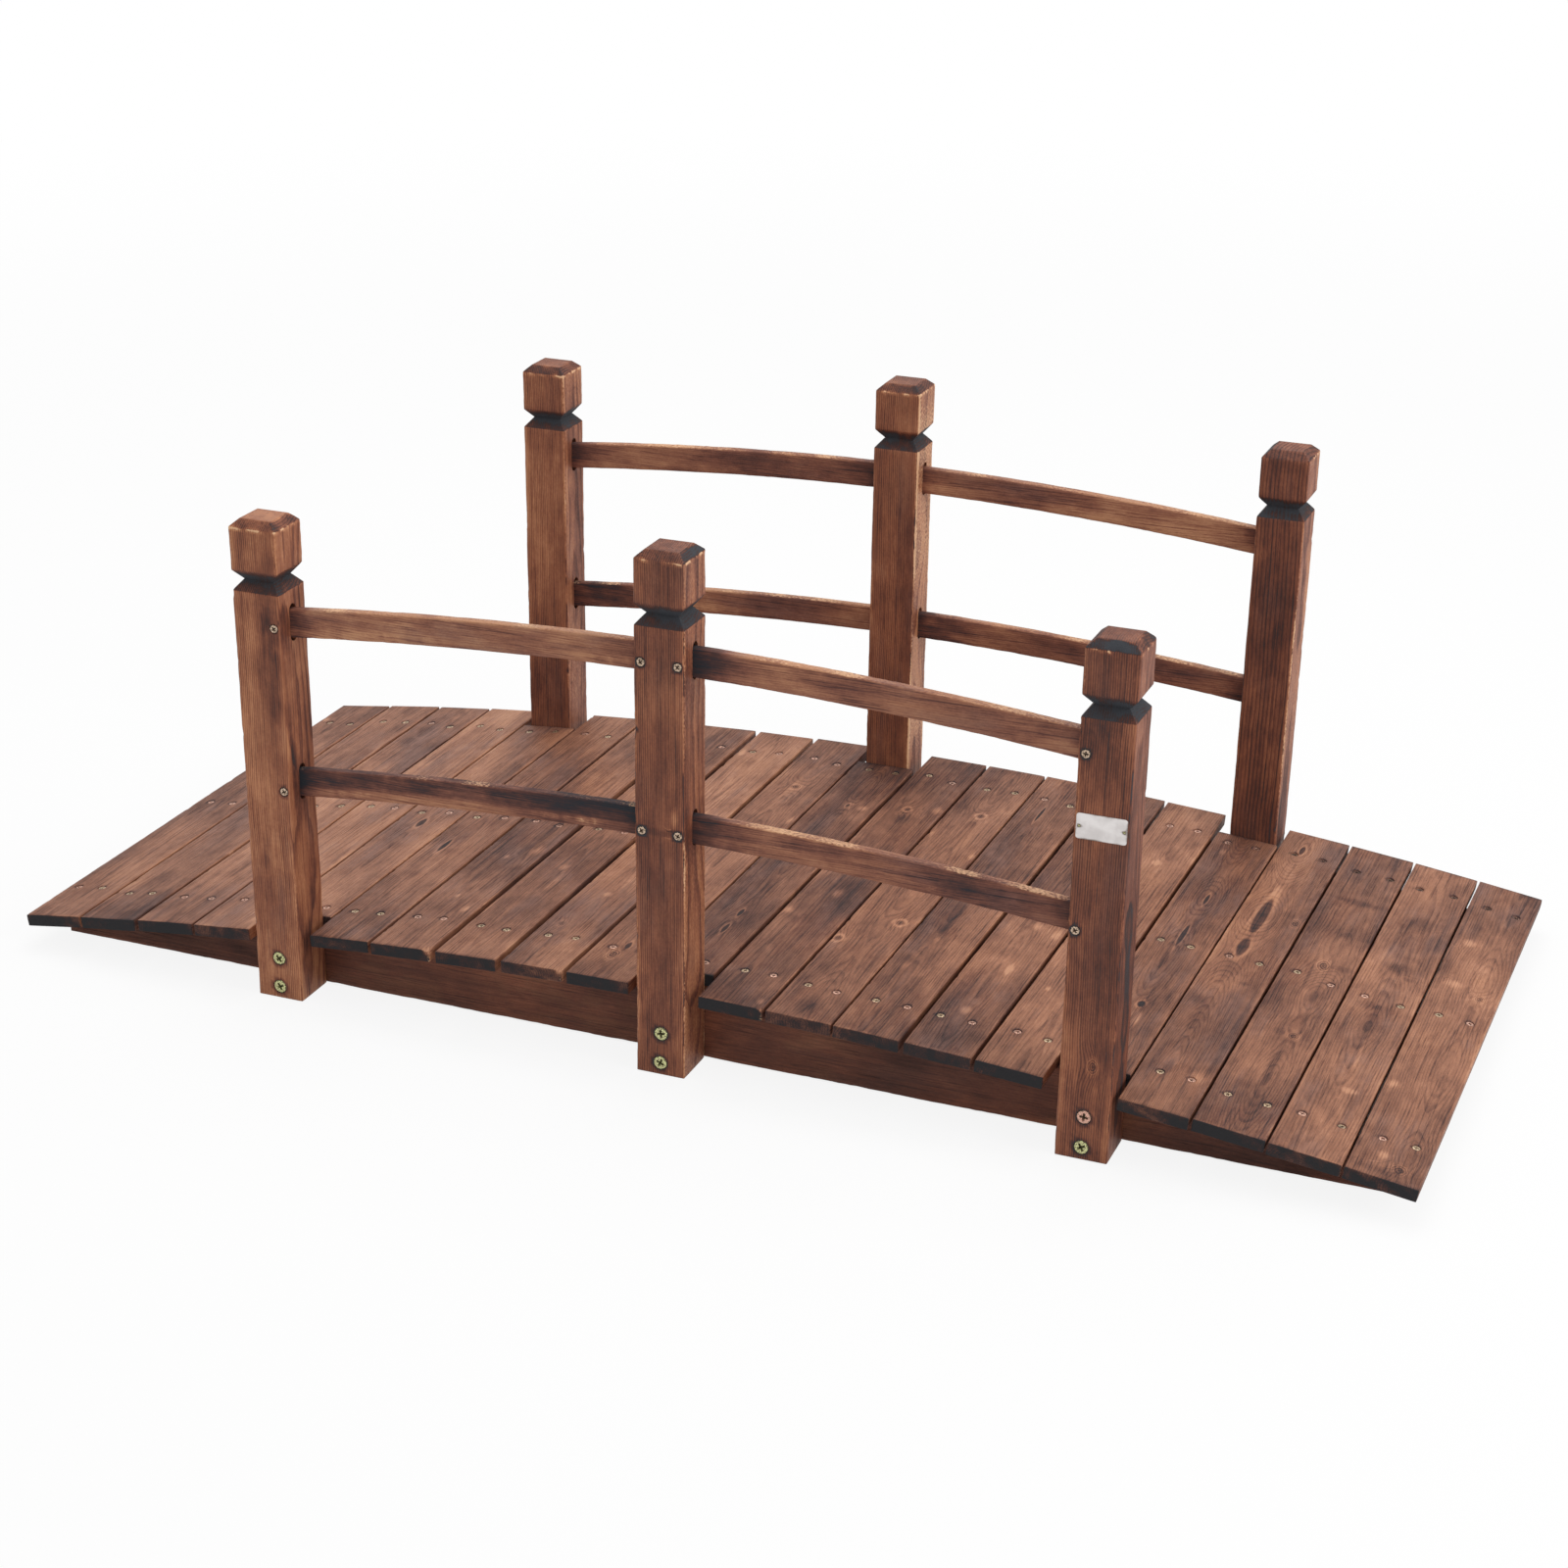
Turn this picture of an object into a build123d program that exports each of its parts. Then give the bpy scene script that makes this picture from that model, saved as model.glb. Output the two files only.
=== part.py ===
from build123d import *
import math
import os

# Driving sizes in millimetres. X runs along the walkway, Y across it, Z up, and the ground is Z = 0.
deck_width = 694
middle_post_height = 541
end_post_height = 516

# Deck: flat planks of one width laid by hand across a shallow arch, so the gaps between them vary
plank_width = 67.3
plank_gaps = (3.5, 4.5, 3.5, 3.5, 3, 4.5, 7.5, 7, 6, 3, 5.5, 4, 3, 5.5, 4.5, 4.5, 3.5, 5.5, 5, 5)
plank_thickness = 13
plank_edge_radius = 1.5
crown_height = 93
deck_radius = 4975

# Stringers: three boards on edge, flat below and arched above
stringer_thickness = 38
stringer_set_back = 20
plank_seat_clearance = 0.2

# Posts: square uprights with a grooved neck under a chamfered block
post_size = 52
post_edge_radius = 2
post_inner_face = 298
end_post_outward = 2.2
cap_block_height = 51
cap_chamfer_inset = 9
cap_chamfer_drop = 8
neck_height = 22
neck_depth = 9.5
short_plank_clearance = 0.3
short_plank_step = 6

# Rails: thin arched bars housed in tall round-ended slots
rail_thickness = 12
rail_height = 29.4
rail_bow = 5.8
rail_tenon = 14
rail_below_top = 95
rail_spacing = 170
slot_side_clearance = 0.3
slot_end_clearance = 1
slot_room_above = 5
slot_room_below = 3
rail_edge_radius = 2

# Plate: a thin rounded metal plate on the front right post
plate_width = 48
plate_height = 25
plate_thickness = 0.8
plate_corner_radius = 3
plate_centre_height = 340

# Sizes that follow from those above: places along the deck are measured round its arch
plank_count = len(plank_gaps) + 1
half_arc = (plank_count * plank_width + sum(plank_gaps)) / 2
plank_places = [
    plank_width * (number + 0.5) + sum(plank_gaps[:number]) - half_arc for number in range(plank_count)
]
middle_plank = plank_count // 2
short_planks = (middle_plank - short_plank_step, middle_plank, middle_plank + short_plank_step)
arch_centre = crown_height - deck_radius
stringer_top_radius = deck_radius - plank_thickness - plank_seat_clearance
half_stringer = deck_radius * math.sin(half_arc / deck_radius) - stringer_set_back
post_arc = (plank_places[short_planks[2]] - plank_places[short_planks[0]]) / 2
post_offset = deck_radius * math.sin(post_arc / deck_radius) + end_post_outward
post_centre = post_inner_face + post_size / 2
short_plank_length = 2 * (post_inner_face - short_plank_clearance)
slot_depth = rail_tenon + slot_end_clearance
rail_levels = {"upper": rail_below_top, "lower": rail_below_top + rail_spacing}


def plank(place, length):
    """One board across the walk, tangent to the arch, with its two top long edges eased."""
    board = Box(plank_width, length, plank_thickness, align=(Align.CENTER, Align.CENTER, Align.MAX))
    top_edges = board.faces().sort_by(Axis.Z)[-1].edges().filter_by(Axis.Y)
    board = fillet(top_edges, plank_edge_radius)
    angle = place / deck_radius
    crest = Pos(deck_radius * math.sin(angle), 0, arch_centre + deck_radius * math.cos(angle))
    return crest * Rot(0, math.degrees(angle), 0) * board


def stringer():
    """A board on edge: straight underside on the ground, arched top and square ends."""
    half = half_stringer
    end_top = arch_centre + math.sqrt(stringer_top_radius**2 - half**2)
    arch_top = arch_centre + stringer_top_radius
    with BuildSketch(Plane.XZ) as side:
        with BuildLine():
            ThreePointArc((-half, end_top), (0, arch_top), (half, end_top))
            Polyline((half, end_top), (half, 0), (-half, 0), (-half, end_top))
        make_face()
    return extrude(side.sketch, stringer_thickness / 2, both=True)


def neck_groove(height):
    """Four V-shaped wedges, one to a side, that mitre at the corners and leave the neck of a post."""
    block_bottom = height - cap_block_height
    reach = post_size / 2
    with BuildSketch(Plane.XZ) as vee:
        with BuildLine():
            Polyline(
                (reach, block_bottom),
                (reach - neck_depth, block_bottom - neck_height / 2),
                (reach, block_bottom - neck_height),
                close=True,
            )
        make_face()
    wedge = extrude(vee.sketch, post_size, both=True)
    return [Rot(0, 0, turn) * wedge for turn in (0, 90, 180, 270)]


def slot(side, top, bottom):
    """A stopped, round-ended slot in one side of a post, taller than the rail that enters it."""
    wide = rail_thickness + 2 * slot_side_clearance
    middle = (top + bottom) / 2
    face = Plane(origin=(side * post_size / 2, 0, middle), x_dir=(0, 1, 0), z_dir=(-side, 0, 0))
    return extrude(face * Rot(0, 0, 90) * SlotOverall(top - bottom, wide), slot_depth)


def post(height, slots):
    """A square post with eased corners, chamfered cap block, grooved neck and slots for its rails."""
    body = Box(post_size, post_size, height, align=(Align.CENTER, Align.CENTER, Align.MIN))
    top_face = body.faces().sort_by(Axis.Z)[-1]
    body = chamfer(top_face.edges(), cap_chamfer_inset, cap_chamfer_drop, reference=top_face)
    body &= extrude(RectangleRounded(post_size, post_size, post_edge_radius), height)
    for wedge in neck_groove(height):
        body -= wedge
    for side, top, bottom in slots:
        body -= slot(side, top, bottom)
    return body


def rail_top_at(x, below_top):
    """Height of a rail's top edge at a distance x from the middle posts' line."""
    part_way = abs(x) / post_offset
    straight = middle_post_height + (end_post_height - middle_post_height) * part_way
    return straight - below_top + 4 * rail_bow * part_way * (1 - part_way)


def slots_for(post_x):
    """Side, top and bottom of each slot in a post, with room round the rail's end at any slope."""
    found = []
    for side in (-1, 1):
        if abs(post_x + side) > post_offset:
            continue
        for below_top in rail_levels.values():
            tenon = [post_x + side * x for x in (post_size / 2, post_size / 2 - rail_tenon)]
            tops = [rail_top_at(x, below_top) for x in tenon]
            top = max(tops) + slot_room_above
            bottom = min(tops) - rail_height - slot_room_below
            found.append((side, top, bottom))
    return found


def rail(side, below_top):
    """A bowed bar between two posts: one arc above, the same arc below, square ends in the slots."""
    near = post_size / 2 - rail_tenon
    far = post_offset - near
    stops = [(side * x, rail_top_at(x, below_top)) for x in (near, (near + far) / 2, far)]
    below = [(x, z - rail_height) for x, z in stops]
    with BuildSketch(Plane.XZ) as bar:
        with BuildLine():
            ThreePointArc(*stops)
            Line(stops[-1], below[-1])
            ThreePointArc(*below)
            Line(below[0], stops[0])
        make_face()
    bar = extrude(bar.sketch, rail_thickness / 2, both=True)
    long_edges = bar.edges().filter_by(GeomType.CIRCLE)
    return fillet(long_edges, rail_edge_radius)


def plate():
    """A thin plate with rounded corners, lying flat against the outer face of a post."""
    outline = Plane.XZ * RectangleRounded(plate_width, plate_height, plate_corner_radius)
    return extrude(outline, plate_thickness)


parts = {}

for number, place in enumerate(plank_places):
    length = short_plank_length if number in short_planks else deck_width
    parts[f"plank_{number + 1:02d}"] = plank(place, length)

stringer_line = post_inner_face - stringer_thickness / 2
for place, y in (("front", -stringer_line), ("middle", 0), ("back", stringer_line)):
    parts[f"stringer_{place}"] = Pos(0, y, 0) * stringer()

for row, y in (("front", -post_centre), ("back", post_centre)):
    for place, x in (("left", -post_offset), ("middle", 0), ("right", post_offset)):
        height = end_post_height if x else middle_post_height
        parts[f"post_{row}_{place}"] = Pos(x, y, 0) * post(height, slots_for(x))
    for place, side in (("left", -1), ("right", 1)):
        for level, below_top in rail_levels.items():
            parts[f"rail_{row}_{place}_{level}"] = Pos(0, y, 0) * rail(side, below_top)

plate_face = -post_inner_face - post_size
parts["plate_front_right"] = Pos(post_offset, plate_face, plate_centre_height) * plate()

os.makedirs("parts", exist_ok=True)
for name, shape in parts.items():
    export_step(shape, f"parts/{name}.step")
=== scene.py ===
# %% [markdown]
# # A torched garden moon bridge
# The real bridge is a kit of fir timbers: three stringers on edge, twenty-one deck planks, six grooved posts and
# eight bowed rails. Every board was passed under a gas flame, brushed and oiled, so the grain stands out dark on
# brown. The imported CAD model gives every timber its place. Each one is rebuilt here at that place with a finer
# mesh, because worn corners, ragged ends and countersinks are shapes, and a material alone can't make them.

# %% Load the frame
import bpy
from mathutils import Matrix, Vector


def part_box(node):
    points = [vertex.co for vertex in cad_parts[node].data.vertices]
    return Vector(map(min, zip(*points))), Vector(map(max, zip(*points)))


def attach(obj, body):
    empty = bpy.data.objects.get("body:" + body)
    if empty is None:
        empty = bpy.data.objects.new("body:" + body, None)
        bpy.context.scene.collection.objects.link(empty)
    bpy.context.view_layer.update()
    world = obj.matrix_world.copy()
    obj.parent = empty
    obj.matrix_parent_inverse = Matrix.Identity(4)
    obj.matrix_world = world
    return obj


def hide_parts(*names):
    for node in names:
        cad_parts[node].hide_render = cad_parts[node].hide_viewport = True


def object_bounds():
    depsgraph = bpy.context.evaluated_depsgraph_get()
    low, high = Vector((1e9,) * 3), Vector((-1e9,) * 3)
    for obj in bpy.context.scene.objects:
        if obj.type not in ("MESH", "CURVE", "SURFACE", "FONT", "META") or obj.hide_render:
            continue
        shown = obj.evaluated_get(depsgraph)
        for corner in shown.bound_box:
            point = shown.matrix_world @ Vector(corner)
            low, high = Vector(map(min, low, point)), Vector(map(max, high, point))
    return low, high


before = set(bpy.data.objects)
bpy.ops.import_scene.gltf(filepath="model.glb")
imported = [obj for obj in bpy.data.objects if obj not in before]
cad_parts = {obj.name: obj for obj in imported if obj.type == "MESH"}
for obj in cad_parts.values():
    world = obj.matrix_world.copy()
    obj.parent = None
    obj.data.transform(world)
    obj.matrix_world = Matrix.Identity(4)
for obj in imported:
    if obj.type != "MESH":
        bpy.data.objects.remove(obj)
cad_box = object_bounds()

# %% Libraries and units
import math

import bmesh
import bpy
import numpy as np
from mathutils import Matrix, Vector

MM = 0.001
print("one millimetre is", MM, "m")

# %% [markdown]
# ## Camera
# The photograph was taken from the front right, a little above the rails, with a long lens. A camera that was fitted
# to the post tops, feet and plank ends gives the same outline. Shift keeps the picture's centre off the lens axis,
# as the cropped photograph does.

# %% Camera at the photograph's viewing angle
def added(name, data):
    """A new object in the scene that carries this data."""
    thing = bpy.data.objects.new(name, data)
    bpy.context.scene.collection.objects.link(thing)
    return thing


picture_side, sensor, far_clip = 1600, 36.0, 200
camera_place = (1.07734, -2.76218, 1.39413)
focal, off_x, off_y = 3055.66, -58.57, 174.65
yaw, pitch, roll = 0.3954, -0.4457, 0.0058
ahead = Vector((-math.sin(yaw) * math.cos(pitch), math.cos(yaw) * math.cos(pitch), math.sin(pitch)))
level = Vector((math.cos(yaw), math.sin(yaw), 0))
above = level.cross(ahead)
right = math.cos(roll) * level + math.sin(roll) * above
top = -math.sin(roll) * level + math.cos(roll) * above
lens = bpy.data.cameras.new("studio_camera")
lens.sensor_width, lens.lens, lens.clip_end = sensor, focal / picture_side * sensor, far_clip
lens.shift_x, lens.shift_y = -off_x / picture_side, off_y / picture_side
camera = added("studio_camera", lens)
camera.matrix_world = Matrix.Translation(camera_place) @ Matrix((right, top, -ahead)).transposed().to_4x4()
bpy.context.scene.camera = camera
bpy.context.scene.view_settings.view_transform = "Standard"
print("lens", round(lens.lens, 2), "mm, shift", round(lens.shift_x, 4), round(lens.shift_y, 4))

# %% [markdown]
# ## Node maths as plain expressions
# A material is a sum of small signals: rings, fibres, scorch, wear. Wiring those by hand hides the idea, so one
# class wraps a socket and lets `+ - * / **` add the Math or Vector Math nodes. Any other node comes from
# `Shader.node`.

# %% Signals and shaders
NOISE_MIDDLE, NOISE_GAIN = 0.5, 2.2


class Signal:
    """One output socket. Arithmetic on it adds the node that works it out."""

    def __init__(self, shader, socket):
        self.shader, self.socket = shader, socket

    def math(self, operation, *values):
        vector = any(isinstance(v, tuple) or (isinstance(v, Signal) and v.socket.type == "VECTOR") for v in values)
        kind = "ShaderNodeVectorMath" if vector else "ShaderNodeMath"
        return self.shader.node(kind, {"operation": operation}, dict(enumerate(values)))

    def step(self, low, high, out_low=0.0, out_high=1.0):
        """Rises smoothly from out_low to out_high while the signal goes from low to high."""
        settings = {"interpolation_type": "SMOOTHSTEP"}
        return self.shader.node("ShaderNodeMapRange", settings, {0: self, 1: low, 2: high, 3: out_low, 4: out_high})

    def parts(self):
        split = self.shader.node("ShaderNodeSeparateXYZ", {}, {0: self}).socket.node
        return [Signal(self.shader, output) for output in split.outputs]


for sign, operation in dict(add="ADD", sub="SUBTRACT", mul="MULTIPLY", truediv="DIVIDE", pow="POWER").items():
    setattr(Signal, f"__{sign}__", lambda self, other, o=operation: self.math(o, self, other))
    setattr(Signal, f"__r{sign}__", lambda self, other, o=operation: self.math(o, other, self))
for word, operation in dict(fract="FRACT", floor="FLOOR", wave="SINE", unsigned="ABSOLUTE").items():
    setattr(Signal, word, lambda self, o=operation: self.math(o, self))


class Shader:
    """The node tree of a material or of the world."""

    def __init__(self, owner):
        owner.use_nodes = True
        self.owner, self.tree = owner, owner.node_tree
        self.tree.nodes.clear()

    def node(self, kind, settings, values, output=0):
        """Adds a node: its settings first, then numbers or links for its sockets; gives one output as a Signal."""
        made = self.tree.nodes.new(kind)
        for setting, value in settings.items():
            if setting != "stops":
                setattr(made, setting, value)
                continue
            while len(made.color_ramp.elements) < len(value):
                made.color_ramp.elements.new(0.5)
            for element, (position, colour) in zip(made.color_ramp.elements, value):
                element.position, element.color = position, colour
        for socket, value in values.items():
            if isinstance(value, Signal):
                self.tree.links.new(value.socket, made.inputs[socket])
            else:
                made.inputs[socket].default_value = value
        return Signal(self, made.outputs[output]) if made.outputs else made

    def painted(self, name, output="Vector"):
        """What was stored on the mesh under this name."""
        settings = {"attribute_type": "GEOMETRY", "attribute_name": name}
        return self.node("ShaderNodeAttribute", settings, {}, output)

    def noise(self, where, scale=1.0, detail=2.0, roughness=0.5):
        """Cloudy noise round zero, mostly between -0.5 and 0.5."""
        values = {"Vector": where, "Scale": scale, "Detail": detail, "Roughness": roughness}
        return (self.node("ShaderNodeTexNoise", {}, values) - NOISE_MIDDLE) * NOISE_GAIN

    def mix(self, share, first, second):
        """The first colour where share is 0, the second where it is 1. A colour is a link or a painter's code."""
        colours = [paint(colour) if isinstance(colour, str) else colour for colour in (first, second)]
        return self.node("ShaderNodeMix", {"data_type": "RGBA"}, {0: share, 6: colours[0], 7: colours[1]}, 2)

    def bump(self, height, strength, distance):
        return self.node("ShaderNodeBump", {}, {"Height": height, "Strength": strength, "Distance": distance})

    def surface(self, **values):
        """The finished Principled surface; keywords use the socket's name with underscores."""
        sockets = {name.replace("_", " "): value for name, value in values.items()}
        self.node("ShaderNodeOutputMaterial", {}, {"Surface": self.node("ShaderNodeBsdfPrincipled", {}, sockets)})
        return self.owner

    def seen(self):
        """1 for rays that show the background, straight or in metal and glass; 0 for light that falls on things."""
        kinds = ("Camera", "Glossy", "Transmission")
        camera, glossy, through = (self.node("ShaderNodeLightPath", {}, {}, f"Is {kind} Ray") for kind in kinds)
        return (camera + glossy + through).step(0, 1)


def paint(code):
    """A colour as a painter's hex code, turned into the linear numbers that Blender works with."""
    shares = [int(code[i : i + 2], 16) / 255 for i in (0, 2, 4)]
    return (*[s / 12.92 if s <= 0.04045 else ((s + 0.055) / 1.055) ** 2.4 for s in shares], 1.0)


print("burnt brown is", [round(c, 3) for c in paint("7A4E3A")])

# %% [markdown]
# ## Studio
# The photograph shows the bridge cut out on white. A large pale floor stands for that: to the camera it is nearly
# pure white and keeps only a soft shadow, and to the lamps it is an ordinary pale surface that throws light back up.
# Right under the bridge it stays an ordinary surface for the camera too, so the shadow there is dark.

# %% Floor
def white_floor():
    shader = Shader(bpy.data.materials.new("studio_floor"))
    matt = shader.node("ShaderNodeBsdfDiffuse", {}, {"Color": (0.9, 0.9, 0.9, 1)})
    bright = shader.node("ShaderNodeEmission", {}, {"Color": (1, 1, 1, 1), "Strength": 1.0})
    x, y, _ = shader.node("ShaderNodeTexCoord", {}, {}, "Object").parts()
    under = (1 - x.unsigned().step(0.68, 0.735)) * (1 - y.unsigned().step(0.27, 0.3))
    far = ((x * x + y * y) ** 0.5).step(1.6, 5.0, 0.88, 1.0)
    mixed = shader.node("ShaderNodeMixShader", {}, {0: shader.seen() * far * (1 - under), 1: matt, 2: bright})
    shader.node("ShaderNodeOutputMaterial", {}, {0: mixed})
    return shader.owner


half_floor, floor_drop = 40, 0.0008
floor_mesh = bpy.data.meshes.new("studio_floor")
corners = [(x * half_floor, y * half_floor, -floor_drop) for x, y in ((-1, -1), (1, -1), (1, 1), (-1, 1))]
floor_mesh.from_pydata(corners, [], [(0, 1, 2, 3)])
floor_mesh.materials.append(white_floor())
added("studio_floor", floor_mesh)
print("floor", 2 * half_floor, "m square")

# %% [markdown]
# ## Light
# A big softbox hangs over the bridge and a weaker one stands to the right, so deck tops are lightest, the posts'
# right faces come next and the front faces are darkest. The world fills the rest from all round.

# %% World and softboxes
world_light = 0.6
sky = Shader(bpy.data.worlds.new("studio_world"))
bpy.context.scene.world = sky.owner
lit, white = (sky.node("ShaderNodeBackground", {}, {"Color": (1, 1, 1, 1), "Strength": s}) for s in (world_light, 1))
sky.node("ShaderNodeOutputWorld", {}, {0: sky.node("ShaderNodeMixShader", {}, {0: sky.seen(), 1: lit, 2: white})})


def softbox(name, place, aim, size, power):
    """A square lamp at a place, turned to face a point."""
    lamp = bpy.data.lights.new(name, "AREA")
    lamp.shape, lamp.size, lamp.energy = "SQUARE", size, power
    stand = added(name, lamp)
    stand.location = place
    stand.rotation_euler = (Vector(aim) - Vector(place)).to_track_quat("-Z", "Y").to_euler()
    print(name, "at", place, "size", size, "m,", power, "W")


softbox("overhead_softbox", (-0.3, 0.9, 3.6), (0, 0, 0), 2.6, 56)
softbox("right_softbox", (3.4, -0.6, 1.9), (0.2, 0, 0.2), 1.8, 44)

# %% [markdown]
# ## How torched fir looks
# A plank shows growth rings cut at a slant: pale early wood and thin dark late wood, which scorches first. Rings
# bend round knots, and where the heart of the tree comes near the face they close into long flames. None of that can
# be drawn with noise alone, so each timber carries, on its own vertices, numbers that a sawyer would understand:
#
# - `board`: where this point lies across, along and into the board;
# - `rings`: how many growth rings out from the heart it is;
# - `flame`: how nearly the rings lie flat to the face here, where they show broad and bold;
# - `mark_at`, `mark_kind`, `mark_share`: the place in the nearest knot or lens, its kind, how much it counts;
# - `finish`: how charred, how worn and how dark the board is here, with painted shade among the char and a painted
#   highlight among the wear.
#
# The shader then turns those numbers into one `burn` value from raw wood to charcoal, and a ramp gives it a colour.
# Where wear is strongest, and on the strongest painted highlights of the posts' right faces, bare pale wood shows
# through.

# %% The noises of a brushed board
PALE, RING, LENS, SMUDGE, SWIRL = range(5)
plain_burn = 0.36
board_noises = {  # name: scale across and into the board, scale along it, shift, detail, roughness
    "slow_drift": (30.0, 4.0, (0, 0, 0), 2.0, 0.5),
    "quick_drift": (300.0, 14.0, (0, 0, 0), 1.0, 0.5),
    "fibre": (1500.0, 60.0, (0, 0, 0), 2.0, 0.65),
    "line": (620.0, 9.0, (0, 0, 0), 3.0, 0.6),
    "streak": (150.0, 5.0, (3, 0, 9), 2.0, 0.6),
    "cloud": (34.0, 15.0, (0, 0, 0), 3.0, 0.6),
    "patch": (11.0, 4.2, (7, 3, 1), 2.0, 0.5),
    "mottle": (75.0, 38.0, (1, 8, 4), 2.0, 0.6),
    "glow": (20.0, 8.0, (2, 5, 6), 2.0, 0.5),
    "speck": (620.0, 320.0, (0, 0, 0), 2.0, 0.5),
}
print("noises:", ", ".join(board_noises))


# %% Torched wood
def torched_wood(name, shades, mauve, mauve_share, ring_depth, line_depth, streak_depth, sheen):
    """Brushed and oiled fir. shades go from raw wood to charcoal; mauve is the grey bloom that scorching leaves."""
    shader = Shader(bpy.data.materials.new(name))
    board = shader.painted("board")
    rings, flame, kind, share = (shader.painted(n, "Fac") for n in ("rings", "flame", "mark_kind", "mark_share"))
    # The char here also holds painted shade in slots and round screws, and the wear a painted highlight on the
    # posts' right faces
    charred, worn, tone = shader.painted("finish").parts()
    slow_drift, quick_drift, fibre, line, streak, cloud, patch, mottle, glow, speck = (
        shader.noise(board * (across, along, across) + shift, 1.0, detail, roughness)
        for across, along, shift, detail, roughness in board_noises.values()
    )

    # Each year's ring: late wood is a dark band with a sharp outer side, and no two years are alike
    grown = rings + (slow_drift * 0.5 + quick_drift * 0.16)
    year = grown.fract()
    late_wood = year.step(0.42, 0.86) * (1 - year.step(0.93, 1.0))
    each_year = shader.node("ShaderNodeTexWhiteNoise", {"noise_dimensions": "1D"}, {"W": grown.floor()})
    crisp = (line + fibre * 0.3).step(0.04, 0.36) - 0.3

    # Knots and lenses: their edges waver with the clouds
    u, v, _ = shader.painted("mark_at").parts()
    pinched = u * (v * v * 0.25 + 1)
    away = (pinched * pinched + v * v) ** 0.5 + cloud * 0.22 + line * 0.16
    halo = away.step(0.5, 0.85) * (1 - away.step(0.95, 1.5))
    core = 1 - away.step(0.3, 0.6)
    knot_lines = (away * 20.0).wave() * 0.06 * (1 - away.step(0.6, 1.3))
    inside = 1 - away.step(0.75, 1.02)
    rim = away.step(0.9, 1.15) * (1 - away.step(1.2, 2.0))

    def only(mark):
        return (kind - (mark - 0.5)).step(0.0, 0.01) * (1 - (kind - (mark + 0.5)).step(0.0, 0.01)) * share

    marks = (
        only(PALE) * (1 - away.step(0.1, 1.5)) * (-0.3 + line * 0.2 + cloud * 0.2)
        + only(RING) * (core * 0.2 - halo * 0.26 + knot_lines)
        + only(LENS) * (inside * (0.36 + line * 0.25) - rim * 0.2)
        + only(SMUDGE) * (1 - away.step(0.0, 2.6)) * 0.17
        + only(SWIRL) * (knot_lines * 3.0 + core * 0.16 - halo * 0.1)
    )

    burn = (
        plain_burn
        + tone
        + late_wood * (each_year * 0.6 + 0.4) * (flame + 0.1 * ring_depth)
        - flame * 0.2
        + fibre * 0.1
        + crisp * (1 - flame * 0.5) * line_depth
        + streak * streak_depth
        + cloud * 0.18
        + mottle * 0.15
        + patch * 0.36
        + speck * 0.09
        + marks
        + charred * (0.7 + cloud * 0.25 + mottle * 0.3)
        - worn * (1 - charred * 0.8) * (0.24 + (speck + line) * 0.5)
    )
    stops = [(place / (len(shades) - 1), paint(code)) for place, code in enumerate(shades)]
    colour = shader.node("ShaderNodeValToRGB", {"stops": stops}, {0: burn})
    clean = 1 - charred.step(0.3, 0.9)
    bloom = (patch * 0.7 - cloud * 0.6 + streak * 0.3).step(-0.05, 0.5) * clean * mauve_share
    colour = shader.mix(bloom, colour, shader.mix(burn.step(0.25, 0.9), mauve, "332A2B"))
    unburnt = (1 - charred.step(0.2, 0.7)) * (1 - burn.step(0.45, 0.8))
    embers = (glow + mottle * 0.5).step(0.0, 0.45) * unburnt * 0.6 * mauve_share
    colour = shader.mix(embers, colour, shader.mix(burn.step(0.1, 0.6), "C58C66", "7E4A38"))
    colour = shader.mix((worn + speck * 0.5).step(1.15, 1.6), colour, "E2B48C")

    height = late_wood * (flame * 0.4 + 0.3) + fibre * 0.5 + line * 0.5 + streak * 0.3 + marks * -0.3
    rough = burn.step(0.1, 1.0, 0.5, 0.75) + fibre * 0.1
    normal = shader.bump(height, 0.42, 0.0006)
    return shader.surface(Normal=normal, Base_Color=colour, Roughness=rough, Specular_IOR_Level=sheen)


shades = {
    "deck": "C59070 A67257 855945 603F34 3E2C2A 29282A",
    "post": "C08560 9C6246 7B4937 58352C 3D2D2B 3B3D42",
    "rail": "BE8A68 9C6850 7B4D3F 5B3A33 3F2F30 2B2E34",
    "stringer": "8A543E 6B3F30 533127 3F261F 2C1D1B 1E1D20",
}
bloom_and_depths = {  # mauve bloom and its share; ring, line and streak depth; sheen
    "deck": ("745A56", 0.5, 1.5, 0.19, 0.13, 0.2),
    "post": ("654C49", 0.3, 3.4, 0.19, 0.11, 0.22),
    "rail": ("655152", 0.35, 1.2, 0.26, 0.14, 0.22),
    "stringer": ("403332", 0.25, 0.8, 0.2, 0.07, 0.2),
}
woods = {
    f"{use}_wood": torched_wood(f"torched_{use}_fir", codes.split(), *bloom_and_depths[use])
    for use, codes in shades.items()
}
print({slot: len(material.node_tree.nodes) for slot, material in woods.items()})

# %% [markdown]
# ## Random lines that are the same every time
# Saw marks, wavering edges and drifting grain need smooth random lines. `wander` joins seeded random heights with a
# smooth curve, and `along_curve` draws one smooth curve through given points. `near` is a soft hill round a
# spot or a line, and with `unit` it says where a stain, a scorch or a worn lip begins and ends.

# %% Smooth lines
HEIGHTS = 400


def wander(seed, where, stride):
    """A smooth random line between -1 and 1 with a new height every stride."""
    heights = np.random.default_rng(seed).uniform(-1, 1, HEIGHTS)
    steps = np.asarray(where, float) / stride + HEIGHTS / 2
    low = np.floor(steps).astype(int)
    part = steps - low
    part = part * part * (3 - 2 * part)
    return heights[low] * (1 - part) + heights[low + 1] * part


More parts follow.
